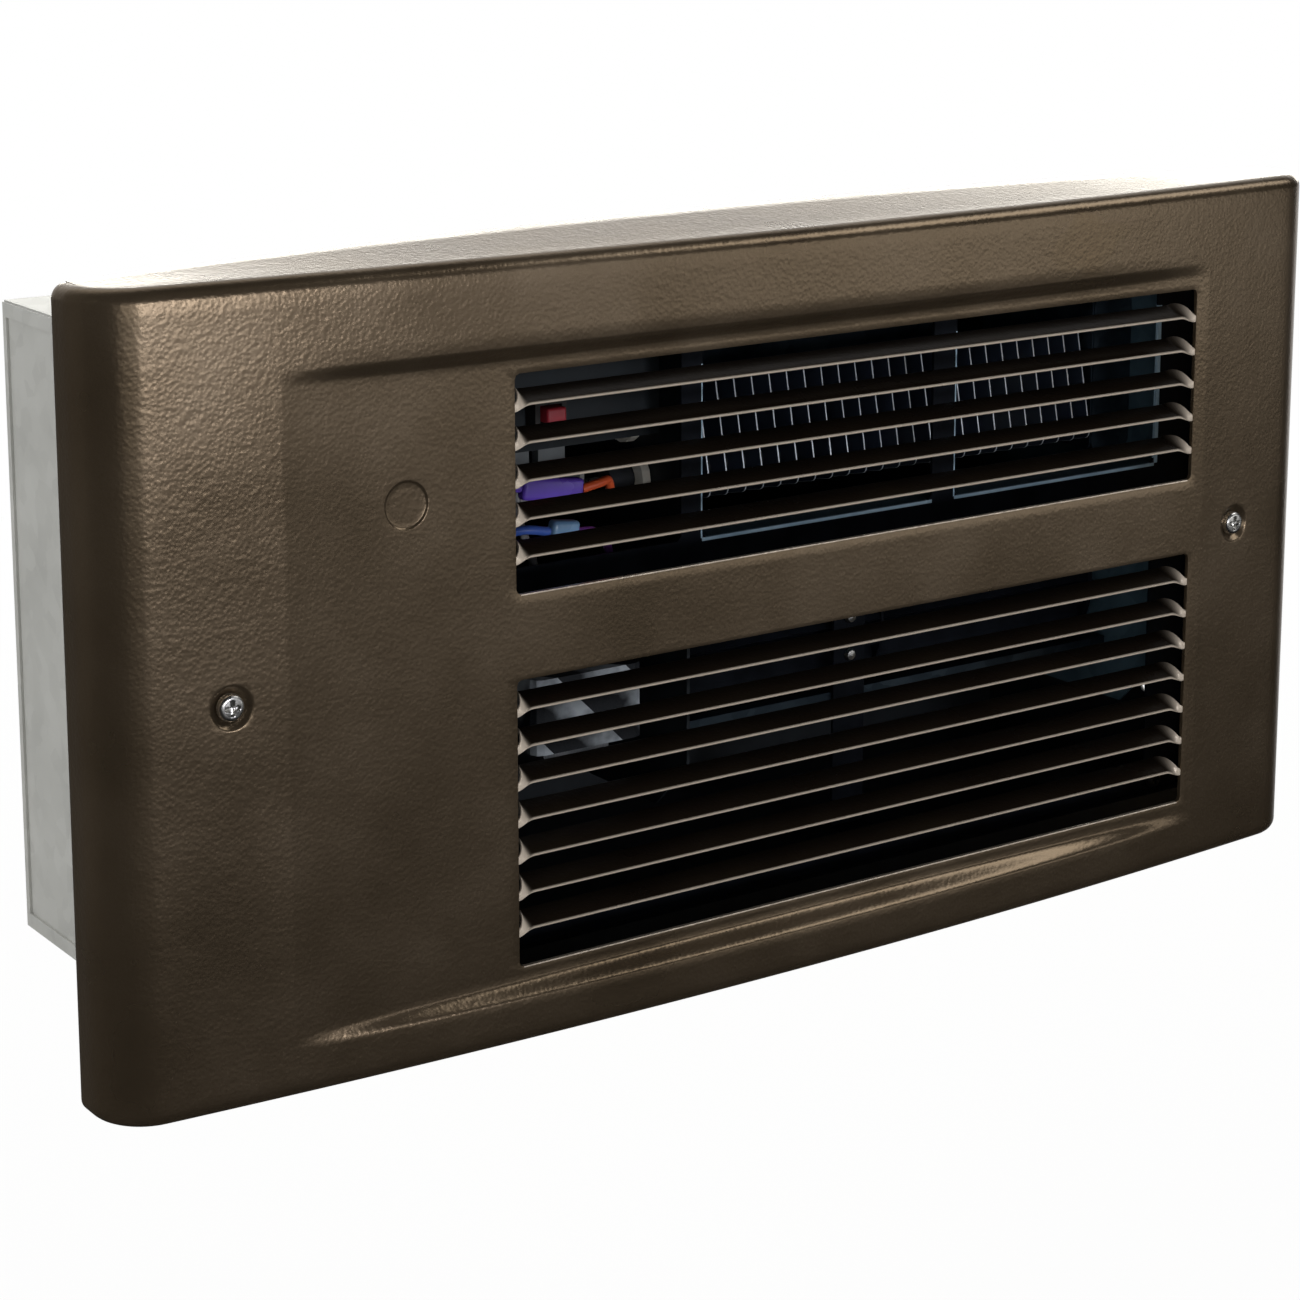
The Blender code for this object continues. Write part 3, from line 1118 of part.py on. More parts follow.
def cutout_tabs():
    """The x of the cut-out's two tabs."""
    return [CUTOUT_X + side * (SPADE_LENGTH / 2) for side in (-1, 1)]


def spade(name, tip, axis, across):
    """A sleeved receptacle that slides over a tab. The tip is where its mouth meets the tab's root."""
    thin = axis.cross(across)
    wide, flat = TAB_WIDTH / 2 + SEAT, TAB_SHEET / 2 + SEAT

    def corner(along, side, up):
        return tip - axis * along + across * side + thin * up

    def slab(label, near, far, side, up):
        a, b = corner(near, -side, -up), corner(far, side, up)
        low, high = [min(p) for p in zip(a, b)], [max(p) for p in zip(a, b)]
        return block(label, low, high, nylon("clear_nylon", (0.55, 0.56, 0.55)))

    made = slab(name, SEAT, SPADE_LENGTH, wide + SPADE_WALL, flat + SPADE_WALL)
    return cut(made, slab(f"{name}_slot", -SEAT, TAB_LENGTH + SEAT, wide, flat))


def wire(name, route, colour):
    """An insulated lead along a smooth curve through the points of its route."""
    points = [Vector(point) for point in route]
    points = [2 * points[0] - points[1], *points, 2 * points[-1] - points[-2]]
    path = []
    for a, b, c, d in zip(points, points[1:], points[2:], points[3:]):
        for t in (0, 0.25, 0.5, 0.75):
            spread = (2 * a - 5 * b + 4 * c - d) * t * t + (3 * b - a - 3 * c + d) * t**3
            path.append((2 * b + (c - a) * t + spread) / 2)
    path.append(points[-2])
    return tube(name, path, WIRE_RADIUS, colour)


def wiring():
    """The terminal block, cable bushing, earth screw, the two in-line connectors and the leads."""
    phenolic = nylon("black_phenolic", (0.02, 0.018, 0.016))
    front = CAN_BACK - SEAT - BLOCK_DEPTH
    right = BLOCK_X + BLOCK_WIDTH / 2
    low = (BLOCK_X - BLOCK_WIDTH / 2, front, BLOCK_Z - BLOCK_HEIGHT / 2)
    high = (right, CAN_BACK - SEAT, BLOCK_Z + BLOCK_HEIGHT / 2)
    terminal = block("terminal_block", low, high, phenolic, 0.8 * MM)
    spots = [(BLOCK_X + side * TERMINAL_PITCH / 2, BLOCK_Z) for side in (-1, 1)]
    bore = 2 * MM + SEAT
    cut(terminal, bores("terminal_bores", spots, "Y", front - BLOCK_DEPTH, front + 10 * MM, bore, 12))
    for i, (x, z) in enumerate(spots):
        seat, name = (x, front - SEAT, z), f"terminal_screw_{i + 1}"
        pan_screw(name, seat, (0, -1, 0), 2 * MM, 3.4 * MM, 8 * MM, bright_steel())

    edge = CAN_SHEET / 2 + SEAT
    neck, rim = INLET_RADIUS - SEAT, INLET_RADIUS + BUSHING_LIP
    ring = [
        (neck, edge + BUSHING_LIP),
        (neck, -edge),
        (rim, -edge),
        (rim, -edge - BUSHING_LIP),
        (BUSHING_BORE, -edge - BUSHING_LIP),
        (BUSHING_BORE, edge + BUSHING_LIP),
    ]
    centre = (INLET_X, CAN_BACK + CAN_SHEET / 2, INLET_Z)
    turned("cable_bushing", ring, centre, (0, 1, 0), nylon("black_nylon", (0.015, 0.015, 0.015)), 28, True)
    seat = (EARTH_X, CAN_BACK - SEAT, EARTH_Z)
    green = finish("green_screw", (0.04, 0.3, 0.1), 0.4, 0.8)
    pan_screw("earth_screw", seat, (0, -1, 0), EARTH_RADIUS, 3.6 * MM, 4.5 * MM, green)

    tab_y = CUTOUT_FRONT + CUTOUT_DEPTH / 2
    tab_z = CUTOUT_Z - CUTOUT_HEIGHT / 2
    for i, x in enumerate(cutout_tabs()):
        spade(f"cutout_spade_{i + 1}", Vector((x, tab_y, tab_z)), Vector((0, 0, 1)), Vector((1, 0, 0)))
    root = ELEMENT_COLD_END - SEAT - PIN_LENGTH
    pins = [element_point(side * ELEMENT_SPACING / 2) for side in (1, -1)]
    for i, spot in enumerate(pins):
        spade(f"element_spade_{i + 1}", Vector((root, *spot)), Vector((1, 0, 0)), Vector((0, 0, 1)))

    violet, blue = (0.12, 0.06, 0.5), (0.05, 0.12, 0.5)
    lean = math.radians(8)
    drops = (20.6 * MM, 33.4 * MM)
    ends = []
    for i, (length, drop, colour) in enumerate(zip(CONNECTOR_LENGTHS, drops, (violet, blue))):
        centre = (CUTOUT_X - 2 * MM + i * 4 * MM, 9.5 * MM, CUTOUT_Z - drop)
        half = Vector((length, CONNECTOR_HEIGHT, CONNECTOR_WIDTH)) / 2
        made = block(f"lead_connector_{i + 1}", -half, half, nylon(f"connector_{i + 1}", colour), 1 * MM)
        turn = Matrix.Rotation(lean, 4, "Y")
        made.matrix_world = Matrix.Translation(centre) @ turn
        reach = turn @ Vector((length / 2 + SEAT, 0, 0))
        ends.append((Vector(centre) - reach, Vector(centre) + reach))

    coil_top = WHEEL_Z + COIL_HEIGHT / 2 + SEAT
    coil_y = WHEEL_Y - STACK_HALF - COIL_WINDOW - COIL_LEG / 2
    coil_right, coil_left = STACK_RIGHT + SEAT + COIL_BUILD / 2, STACK_LEFT - SEAT - COIL_BUILD / 2
    below = tab_z - SPADE_LENGTH - SEAT
    left_tab, right_tab = cutout_tabs()
    pair = WIRE_RADIUS + SEAT
    end_x = root - SPADE_LENGTH - SEAT
    (y1, z1), (y2, z2) = pins
    side_x = right + SEAT
    entry = CAN_BACK - BLOCK_DEPTH / 2
    step = 7 * MM

    def at(base, *moves):
        """Points given by their distances in millimetres from a base point."""
        return [Vector(base) + Vector(move) * MM for move in moves]

    routes = {
        "violet": [
            *at((side_x, entry, BLOCK_Z + step), (0, 0, 0), (7, -1, 1), (17, -14, 10), (25, -42, 24)),
            *at(ends[0][0], (-21, 12, 2), (-10, 1, 1.6), (0, 0, 0)),
        ],
        "blue": [
            *at((side_x, entry, BLOCK_Z - step), (0, 0, 0), (8, -2, -1), (21, -22, 3), (29, -50, 15)),
            *at(ends[1][0], (-18, 9, -3), (-9, 1, 1.2), (0, 0, 0)),
        ],
        "white": [
            *at((side_x, entry, BLOCK_Z), (0, 0, 0), (9, 0, 0), (25, -12, 3), (45, -37, 12)),
            *at((end_x, y2, z2), (-13, 9, -10), (-5.5, 1, -2), (0, 0, 0)),
        ],
        "red": [
            *at(ends[0][1], (0, 0, 0), (6, 0, 1), (11, 3, 0.5), (13, 8, -5)),
            *at((right_tab, tab_y, below), (2, 0, -8), (0, 0, -4), (0, 0, 0)),
        ],
        "black": [
            *at((left_tab - pair, tab_y, below), (0, 0, 0), (-0.5, -0.5, -5), (-6, -0.5, -8), (-11.5, 1, -2)),
            *at((end_x, y1, z1), (-20, -3, -8), (-13.5, 0, -1), (-6, 0, 0), (0, 0, 0)),
        ],
        "plum": [
            *at(ends[1][1], (0, 0, 0), (6, 0.5, -1), (12, 3, -6), (15.5, 6, -20)),
            *at((coil_right, coil_y, coil_top), (0, 0, 8), (0, 0, 0)),
        ],
        "grey": [
            *at((coil_left, coil_y, coil_top), (0, 0, 0), (-1, -1, 8), (0, -2, 18), (4, -1, 28)),
            *at((left_tab + pair, tab_y, below), (0, -0.5, -10), (0, 0, 0)),
        ],
    }
    colours = {
        "violet": violet,
        "blue": blue,
        "white": (0.7, 0.7, 0.66),
        "red": (0.6, 0.08, 0.02),
        "black": (0.015, 0.015, 0.015),
        "plum": (0.15, 0.03, 0.25),
        "grey": (0.25, 0.25, 0.25),
    }
    for name, route in routes.items():
        wire(f"lead_{name}", route, nylon(f"insulation_{name}", colours[name]))


def even_shading():
    """Let the large faces lead the shading of every piece that has been cut or joined."""
    for piece in PARTS.objects:
        if any(modifier.type == "BOOLEAN" for modifier in piece.modifiers):
            piece.modifiers.new("shading", "WEIGHTED_NORMAL").keep_sharp = True


def main():
    wall_can()
    front_cover()
    cover_screws()
    deck_plate()
    blower_scroll()
    scroll_tongue()
    end_plates()
    impeller()
    shafts()
    end_bearing()
    motor()
    heating_element()
    element_fittings()
    centre_strap()
    thermal_cutout()
    wiring()
    even_shading()


main()
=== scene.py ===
"""Recessed fan-forced wall heater, dressed for its picture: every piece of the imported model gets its
finish, and the cover, louvres, element, wiring and screws are worked out again as finer surfaces in the
same places."""

import math

import bpy
import numpy as np
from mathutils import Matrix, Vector


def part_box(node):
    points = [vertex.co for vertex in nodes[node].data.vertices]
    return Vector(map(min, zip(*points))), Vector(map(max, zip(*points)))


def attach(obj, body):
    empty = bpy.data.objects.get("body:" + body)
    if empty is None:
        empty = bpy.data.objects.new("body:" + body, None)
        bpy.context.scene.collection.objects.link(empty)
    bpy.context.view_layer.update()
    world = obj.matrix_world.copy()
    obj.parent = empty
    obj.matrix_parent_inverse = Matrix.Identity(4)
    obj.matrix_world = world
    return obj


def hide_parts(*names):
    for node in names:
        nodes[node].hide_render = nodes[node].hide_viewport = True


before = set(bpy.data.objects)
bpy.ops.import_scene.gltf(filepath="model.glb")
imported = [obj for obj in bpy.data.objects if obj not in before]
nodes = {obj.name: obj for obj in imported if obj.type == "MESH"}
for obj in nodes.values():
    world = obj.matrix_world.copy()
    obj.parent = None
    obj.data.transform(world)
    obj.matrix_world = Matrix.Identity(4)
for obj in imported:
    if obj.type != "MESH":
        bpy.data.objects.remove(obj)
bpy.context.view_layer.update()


# Wall can
# The open box that is let into the wall and nailed to the studs through its sides. It is folded from 1.2 mm
# hot-dip galvanised sheet, with stamped knock-outs; the dipping leaves a faint spangle and cloudy patches.
def step(tree, kind, inputs, **settings):
    """One node of a finish: its settings by name, and its inputs as values or other nodes' outputs."""
    made = tree.nodes.new("ShaderNode" + kind)
    for name, value in settings.items():
        setattr(made, name, value)
    for name, value in inputs.items():
        if isinstance(value, bpy.types.NodeSocket):
            tree.links.new(value, made.inputs[name])
        else:
            made.inputs[name].default_value = value
    return made.outputs[0]


def tones(tree, share, marks):
    """Colours along a share from 0 to 1: marks are (place, linear colour) pairs in order."""
    ramp = step(tree, "ValToRGB", {"Fac": share}).node
    stops = ramp.color_ramp.elements
    while len(stops) < len(marks):
        stops.new(0.5)
    for stop, (place, colour) in zip(stops, marks):
        stop.position = place
        stop.color = (*colour, 1)
    return ramp.outputs[0]


def spread(tree, share, low, high, start=0.3, end=0.7):
    """The share carried from start..end over to low..high."""
    ends = {"From Min": start, "From Max": end, "To Min": low, "To Max": high}
    return step(tree, "MapRange", {"Value": share} | ends)


def blank(name, metallic, **even):
    """A new finish: its material, tree and shader, and the piece's own coordinates. Values that are the
    same all over the surface go straight on the shader."""
    material = bpy.data.materials.new(name)
    material.use_nodes = True
    tree = material.node_tree
    shader = tree.nodes["Principled BSDF"]
    shader.inputs["Metallic"].default_value = metallic
    for socket, value in even.items():
        shader.inputs[socket.replace("_", " ")].default_value = value
    return material, tree, shader, tree.nodes.new("ShaderNodeTexCoord").outputs["Object"]


def combine(tree, operation, first, second):
    """A sum, difference, product, greatest or least of two values."""
    return step(tree, "Math", {0: first, 1: second}, operation=operation)


def noise(tree, spot, scale, detail, rough=0.5):
    """Layered noise: scale counts its grains per metre, and detail its layers."""
    return step(tree, "TexNoise", {"Vector": spot, "Scale": scale, "Detail": detail, "Roughness": rough})


def bump(tree, height, strength, depth, under=None):
    """The surface's direction with a height put on it, over the bump that lies under it."""
    lower = {} if under is None else {"Normal": under}
    return step(tree, "Bump", {"Height": height, "Strength": strength, "Distance": depth} | lower)


def put_on(tree, shader, colour, rough, normal):
    """Joins the shader's colour, roughness and direction to what was worked out for them."""
    for value, name in ((colour, "Base Color"), (rough, "Roughness"), (normal, "Normal")):
        tree.links.new(value, shader.inputs[name])


def blend(tree, share, colour, other):
    """The first colour where the share is 0; the other one, an output or a plain colour, where it is 1."""
    if not isinstance(other, bpy.types.NodeSocket):
        other = (*other, 1)
    mixed = step(tree, "Mix", {"Factor": share, "A": colour, "B": other}, data_type="RGBA")
    return mixed.node.outputs["Result"]


def within(tree, spot, low, high, soft=0.0001):
    """1 inside a box of the piece's own coordinates and 0 outside: the least, over the axes, of a soft step
    at the box's limits there. An axis with no limits is left out."""
    parts = step(tree, "SeparateXYZ", {0: spot}).node.outputs
    share = None
    for axis, start, end in zip("XYZ", low, high):
        if start is None:
            continue
        from_middle = combine(tree, "SUBTRACT", parts[axis], (start + end) / 2)
        from_middle = step(tree, "Math", {0: from_middle}, operation="ABSOLUTE")
        inside = spread(tree, from_middle, 1.0, 0.0, (end - start) / 2, (end - start) / 2 + soft)
        share = inside if share is None else combine(tree, "MINIMUM", share, inside)
    return share


def in_boxes(tree, spot, boxes, colour, other):
    """The colour, and the other one inside the boxes, which are given by two corners each."""
    for low, high in boxes:
        colour = blend(tree, within(tree, spot, low, high), colour, other)
    return colour


def galvanised_finish(name, metallic, dark, middle, pale, rough, shade_boxes=()):
    """Voronoi cells 5 mm across for the spangle, noise 25 mm across for the clouds, and fine scratches.
    Inside the shade boxes, given by two corners, the colour is painted dark as shade."""
    material, tree, shader, spot = blank(name, metallic)
    bend = {0: noise(tree, spot, 300, 2), 1: (0.0025, 0.0025, 0.0025), 2: spot}
    bent = step(tree, "VectorMath", bend, operation="MULTIPLY_ADD")
    cells = step(tree, "TexVoronoi", {"Vector": bent, "Scale": 190.0}).node
    grey = step(tree, "RGBToBW", {"Color": cells.outputs["Color"]})
    cloud = noise(tree, spot, 38, 5, 0.6)
    both = combine(tree, "ADD", spread(tree, grey, 0.25, 0.75, 0.0, 1.0), cloud)
    colour = tones(tree, spread(tree, both, 0.0, 1.0, 0.55, 1.35), [(0.0, dark), (0.5, middle), (1.0, pale)])
    if shade_boxes:
        # Painted shade: inside the shade boxes the colour turns dark.
        painted_shade = tones(tree, cloud, [(0.3, (0.010, 0.013, 0.016)), (0.7, (0.022, 0.027, 0.032))])
        colour = in_boxes(tree, spot, shade_boxes, colour, painted_shade)
    line = step(tree, "Mapping", {"Vector": spot, "Scale": (60.0, 60.0, 2200.0)})
    scratched = bump(tree, noise(tree, line, 1, 3), 0.12, 0.00002)
    dented = bump(tree, noise(tree, spot, 16, 1), 0.4, 0.0006, scratched)
    put_on(tree, shader, colour, spread(tree, both, rough, rough + 0.14, 0.5, 1.4), dented)
    return material


# The inside of the can, behind the works, and its part under the cover get painted shade.
in_the_can = (-0.1804, -0.001, -0.0904), (0.1804, 0.0974, 0.0904)
under_the_cover = (None, -0.03, None), (None, -0.0005, None)
galvanised = galvanised_finish(
    "galvanised_sheet", 0.35, (0.46, 0.46, 0.435), (0.52, 0.52, 0.49), (0.57, 0.57, 0.54), 0.42,
    (in_the_can, under_the_cover),
)


def dress(material, *names):
    """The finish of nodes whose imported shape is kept."""
    for name in names:
        mesh = nodes[name].data
        mesh.materials.clear()
        mesh.materials.append(material)


dress(galvanised, "wall_can")


# Cable bushing, earth screw and terminal block
# In the can's back: a snap-in nylon ring for the supply cable, a green plated earth screw, and a moulded
# phenolic block whose two plated screws clamp the supply leads. The mouldings have a fine even grain.
def clouded(name, metallic, slow, marks, rough, fine, sheen=0.5):
    """A finish of two noises. The slow one (scale, detail, roughness) moves the colour along the marks and
    the gloss between two values; the fine one (scale, detail) is a grain of a strength and depth."""
    material, tree, shader, spot = blank(name, metallic, Specular_IOR_Level=sheen)
    cloud = noise(tree, spot, *slow)
    scale, detail, strength, depth = fine
    grain = bump(tree, noise(tree, spot, scale, detail), strength, depth)
    put_on(tree, shader, tones(tree, cloud, marks), spread(tree, cloud, *rough), grain)
    return material


def moulded(name, colour, rough, grain=2600.0, depth=0.00004, sheen=0.35):
    """A moulded plastic: slow changes of colour 20 mm across and an even fine grain."""
    deep = tuple(0.78 * c for c in colour)
    pale = tuple(min(1.0, 1.16 * c + 0.002) for c in colour)
    gloss = rough - 0.06, rough + 0.08
    return clouded(name, 0.0, (55, 4), [(0.3, deep), (0.7, pale)], gloss, (grain, 2, 0.35, depth), sheen)


def plated(name, colour, rough):
    """A plated turned part: specks in its colour and gloss."""
    dull = tuple(0.7 * c for c in colour)
    gloss = rough + 0.14, rough - 0.05
    return clouded(name, 1.0, (420, 5, 0.65), [(0.32, dull), (0.62, colour)], gloss, (3500, 2, 0.2, 0.00002))


phenolic = moulded("black_phenolic", (0.016, 0.014, 0.013), 0.38)
bright_steel = plated("bright_steel", (0.62, 0.62, 0.60), 0.27)
dress(moulded("black_nylon", (0.014, 0.014, 0.015), 0.5), "cable_bushing")
dress(phenolic, "terminal_block")
dress(bright_steel, "terminal_screw_1", "terminal_screw_2")
dress(plated("green_plated_steel", (0.06, 0.33, 0.12), 0.3), "earth_screw")


# Deck plate
# The flat steel plate that closes the can and carries the works, stamped out with two outlet windows, the
# wiring window and the wide inlet. It is painted black; the folded lips of its outlet windows are bare, and
# painted pale blue as a highlight.
def black_enamel(name, lit_boxes=()):
    """Black paint over sheet: clouds of gloss 15 mm across and a fine orange peel. Inside the lit boxes,
    along the folded lips, a pale blue is painted as a highlight."""
    material, tree, shader, spot = blank(name, 0.0, Specular_IOR_Level=0.04)
    slow = noise(tree, spot, 70, 5, 0.6)
    colour = tones(tree, slow, [(0.35, (0.004, 0.005, 0.007)), (0.7, (0.009, 0.011, 0.016))])
    lip_light = tones(tree, slow, [(0.35, (0.30, 0.44, 0.56)), (0.7, (0.46, 0.62, 0.74))])
    colour = in_boxes(tree, spot, lit_boxes, colour, lip_light)
    peel = bump(tree, noise(tree, spot, 650, 1), 0.25, 0.00006)
    put_on(tree, shader, colour, spread(tree, slow, 0.34, 0.50), peel)
    return material


window_left, window_right, window_low, window_high = -0.0127, 0.1636, 0.0194, 0.0700
bar_left, bar_right = 0.0722, 0.0810
lip, hair = 0.0009, 0.0004
# The folded lips: thin boxes painted pale blue as highlights.
lip_highlights = [
    ((window_left, None, window_low - lip), (bar_left, None, window_low)),
    ((bar_right, None, window_low - lip), (window_right, None, window_low)),
    ((window_right, None, window_low), (window_right + 1.5 * lip, None, window_high)),
    ((window_left - hair, None, window_low), (window_left, None, window_high)),
    ((bar_right - hair, None, window_low), (bar_right, None, window_high)),
]
dress(black_enamel("deck_enamel", lip_highlights), "deck_plate")
enamel = black_enamel("black_enamel")


# Deck screws
# Four pan-head screws with a cross recess that hold the deck plate to the ears of the can. They are
# blackened steel, oiled, with a dull sheen.
black_oxide = [(0.3, (0.016, 0.016, 0.018)), (0.7, (0.05, 0.05, 0.052))]
blackened = clouded("blackened_steel", 0.7, (500, 5), black_oxide, (0.36, 0.56), (4000, 1, 0.3, 0.00002))
dress(blackened, "deck_screw_1", "deck_screw_2", "deck_screw_3", "deck_screw_4")


# Scroll, tongue and end plates
# The blower's housing: galvanised sheet rolled round the wheel, the folded tongue that parts the intake
# from the outlet, and a flat plate at each end. The sheets are spot-welded to the back of the deck plate.
# Their finishes are darker, bluish copies of the galvanised sheet: painted shade, as they lie in the can.
# Painted shade: these three finishes are darker copies of the galvanised sheet.
shaded_works_steel = galvanised_finish(
    "shaded_works_steel", 0.9, (0.026, 0.040, 0.055), (0.045, 0.065, 0.085), (0.075, 0.105, 0.13), 0.30
)
shaded_duct_steel = galvanised_finish(
    "shaded_duct_steel", 0.3, (0.05, 0.09, 0.115), (0.07, 0.12, 0.155), (0.09, 0.15, 0.19), 0.30
)
shaded_steel = galvanised_finish(
    "shaded_steel", 0.5, (0.006, 0.008, 0.010), (0.010, 0.014, 0.017), (0.016, 0.022, 0.027), 0.46
)
dress(shaded_works_steel, "blower_scroll")
dress(shaded_steel, "scroll_end_left")
dress(shaded_duct_steel, "scroll_tongue", "scroll_end_right")


# Wheel
# The cross-flow wheel: forward-curved blades between two end discs and a middle disc, black painted steel,
# pressed on the motor's shaft at the left and on a stub shaft in a rubber-mounted bush at the right.
dress(enamel, "impeller")
dress(bright_steel, "motor_shaft", "wheel_stub_shaft")
dress(moulded("black_rubber", (0.018, 0.018, 0.018), 0.75, 1400.0, 0.00008, 0.2), "bearing_grommet")


# Motor
# A shaded-pole motor: a riveted stack of thin steel laminations, a taped copper winding, and two die-cast
# bridges with sintered bushes. Two long screws through hollow standoffs hold it to the blower's left plate.
def laminations():
    """Stacked thin sheets: bands 1 mm apart along the shaft's axis, oiled and slightly rusty."""
    material, tree, shader, spot = blank("lamination_steel", 0.9)
    bands = step(tree, "TexWave", {"Vector": spot, "Scale": 318.0, "Distortion": 0.6, "Detail": 2.0})
    rust = noise(tree, spot, 90, 6)
    marks = [(0.35, (0.10, 0.11, 0.12)), (0.62, (0.16, 0.165, 0.17)), (0.75, (0.11, 0.08, 0.06))]
    colour = tones(tree, rust, marks)
    put_on(tree, shader, colour, spread(tree, rust, 0.3, 0.5), bump(tree, bands, 0.6, 0.0001))
    return material


def cast_zinc():
    """Die-cast alloy: a sandy skin, and dark and pale bands 4 mm apart painted as the shade and light of
    ribs.
    """
    material, tree, shader, spot = blank("cast_zinc", 0.8)
    slow = noise(tree, spot, 130, 6)
    ribs = step(tree, "TexWave", {"Vector": spot, "Scale": 78.0, "Distortion": 2.5, "Detail": 3.0})
    # Painted light and shade: dark between the bands, pale on them.
    rib_shading = combine(tree, "MULTIPLY", ribs, slow)
    colour = tones(tree, rib_shading, [(0.12, (0.020, 0.024, 0.030)), (0.40, (0.36, 0.39, 0.43))])
    sandy = bump(tree, noise(tree, spot, 1500, 3), 0.4, 0.00006)
    put_on(tree, shader, colour, spread(tree, slow, 0.34, 0.52), sandy)
    return material


def winding_tape():
    """Varnished cloth tape wound round the coil: turns that lap, with pale bands painted along them as
    highlights, and a fine weave.
    """
    material, tree, shader, spot = blank("winding_tape", 0.0, Specular_IOR_Level=0.25)
    lapping = {"bands_direction": "DIAGONAL", "wave_profile": "SAW"}
    turns = step(tree, "TexWave", {"Vector": spot, "Scale": 27.0, "Distortion": 0.4}, **lapping)
    weave = noise(tree, spot, 2400, 2)
    # The pale bands along the turns are painted highlights.
    light_tone = combine(tree, "MULTIPLY", turns, noise(tree, spot, 110, 4))
    colour = tones(tree, light_tone, [(0.2, (0.008, 0.010, 0.013)), (0.48, (0.30, 0.33, 0.36))])
    lapped = bump(tree, turns, 0.6, 0.0002, bump(tree, weave, 0.4, 0.00008))
    put_on(tree, shader, colour, spread(tree, weave, 0.55, 0.75), lapped)
    return material


dress(laminations(), "motor_stack", "motor_rotor")
dress(winding_tape(), "motor_coil")
dress(cast_zinc(), "motor_bridge_front", "motor_bridge_rear")
dress(plated("sintered_bronze", (0.42, 0.25, 0.10), 0.45), "motor_bush_front", "motor_bush_rear", "end_bush")
dress(bright_steel, "motor_screw_1", "motor_screw_2", "motor_standoff_1", "motor_standoff_2")


# Heating element
# A resistance wire packed in mineral powder inside a steel tube, bent to a hairpin and pressed through a
# stack of thin plate fins with bright sheared edges. They lean a little, and hug each leg with a collar.
def loft(rings, caps=True, flip=False):
    """The vertices and quads of a surface through rings of points: an array of rings by points by 3. Each
    ring closes on itself, and the first and last are capped with one face. Flip turns the faces over."""
    count, around = rings.shape[:2]
    index = np.arange(count * around).reshape(count, around)
    after = np.roll(index, -1, axis=1)
    faces = np.stack([index[:-1], after[:-1], after[1:], index[1:]], -1).reshape(-1, 4).tolist()
    if caps:
        faces += [index[0, ::-1].tolist(), index[-1].tolist()]
    return rings.reshape(-1, 3), [face[::-1] for face in faces] if flip else faces


def built(name, shells, material, smooth=40.0):
    """One mesh object at the origin from shells of (vertices, faces), shaded smooth up to an angle."""
    points, faces, start = [], [], 0
    for part, part_faces in shells:
        points.append(np.asarray(part, float))
        faces += [[i + start for i in face] for face in part_faces]
        start += len(part)
    points = np.concatenate(points)
    mesh = bpy.data.meshes.new(name)
    mesh.from_pydata(np.zeros((len(points), 3)).tolist(), [], faces)
    mesh.vertices.foreach_set("co", points.astype(np.float32).ravel())
    mesh.update()
    mesh.validate()
    mesh.shade_smooth()
    mesh.set_sharp_from_angle(angle=math.radians(smooth))
    mesh.materials.append(material)
    made = bpy.data.objects.new(name, mesh)
    bpy.context.collection.objects.link(made)
    return made


def tube_rings(path, radius, sides):
    """A circle of the radius carried along the path: each circle stands square to the path's mean direction
    there, and its starting point follows without a twist from the one before."""
    path = np.asarray(path, float)
    ahead = np.gradient(path, axis=0)
    ahead /= np.linalg.norm(ahead, axis=1)[:, None]
    side = np.empty_like(path)
    first = np.cross(ahead[0], (0.0, 0.0, 1.0) if abs(ahead[0][2]) < 0.9 else (1.0, 0.0, 0.0))
    side[0] = first / np.linalg.norm(first)
    for i in range(1, len(path)):
        kept = side[i - 1] - ahead[i] * np.dot(side[i - 1], ahead[i])
        side[i] = kept / np.linalg.norm(kept)
    other = np.cross(ahead, side)
    turn = np.linspace(0, 2 * np.pi, sides, endpoint=False)
    circle = np.cos(turn)[None, :, None] * side[:, None] + np.sin(turn)[None, :, None] * other[:, None]
    radius = np.broadcast_to(np.asarray(radius, float).reshape(-1, 1, 1), (len(path), 1, 1))
    return path[:, None] + circle * radius


def at_cut_highlights(tree, colour, other):
    """The colour, and the other one where the mesh's edge attribute is 1, which marks painted highlights."""
    cut_highlight = step(tree, "Attribute", {}, attribute_name="cut_highlight").node
    return blend(tree, cut_highlight.outputs["Fac"], colour, other)


def blued_steel(name, middle, light_tone, edge=None):
    """Steel blued by its own heat, and paler in patches. At the sheared edges of the fins it is uncoated, and
    painted near white as a highlight.
    """
    material, tree, shader, spot = blank(name, 0.55)
    heat = noise(tree, spot, 28, 4)
    colour = tones(tree, heat, [(0.3, tuple(0.6 * c for c in middle)), (0.55, middle), (0.75, light_tone)])
    if edge:
        colour = at_cut_highlights(tree, colour, edge)
    grain = bump(tree, noise(tree, spot, 2600, 2), 0.25, 0.00003)
    put_on(tree, shader, colour, spread(tree, heat, 0.30, 0.44), grain)
    return material


fin_count, fin_pitch, fin_sheet = 24, 0.00646, 0.0005
solid_left, solid_sheet = 0.0006, 0.0007
fin_left = solid_left + (solid_sheet - fin_sheet) / 2
fin_height, fin_depth, fin_corner = 0.036, 0.022, 0.0025
lean = math.radians(12)
leg_radius, leg_spacing, bend_x, cold_end, inward = 0.0036, 0.018, 0.1537, -0.028, 0.031
element_centre = np.array([0.0, inward, np.mean(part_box("heating_element"), axis=0)[2]])
along_in = np.array([0.0, math.cos(lean), -math.sin(lean)])
along_up = np.array([0.0, math.sin(lean), math.cos(lean)])


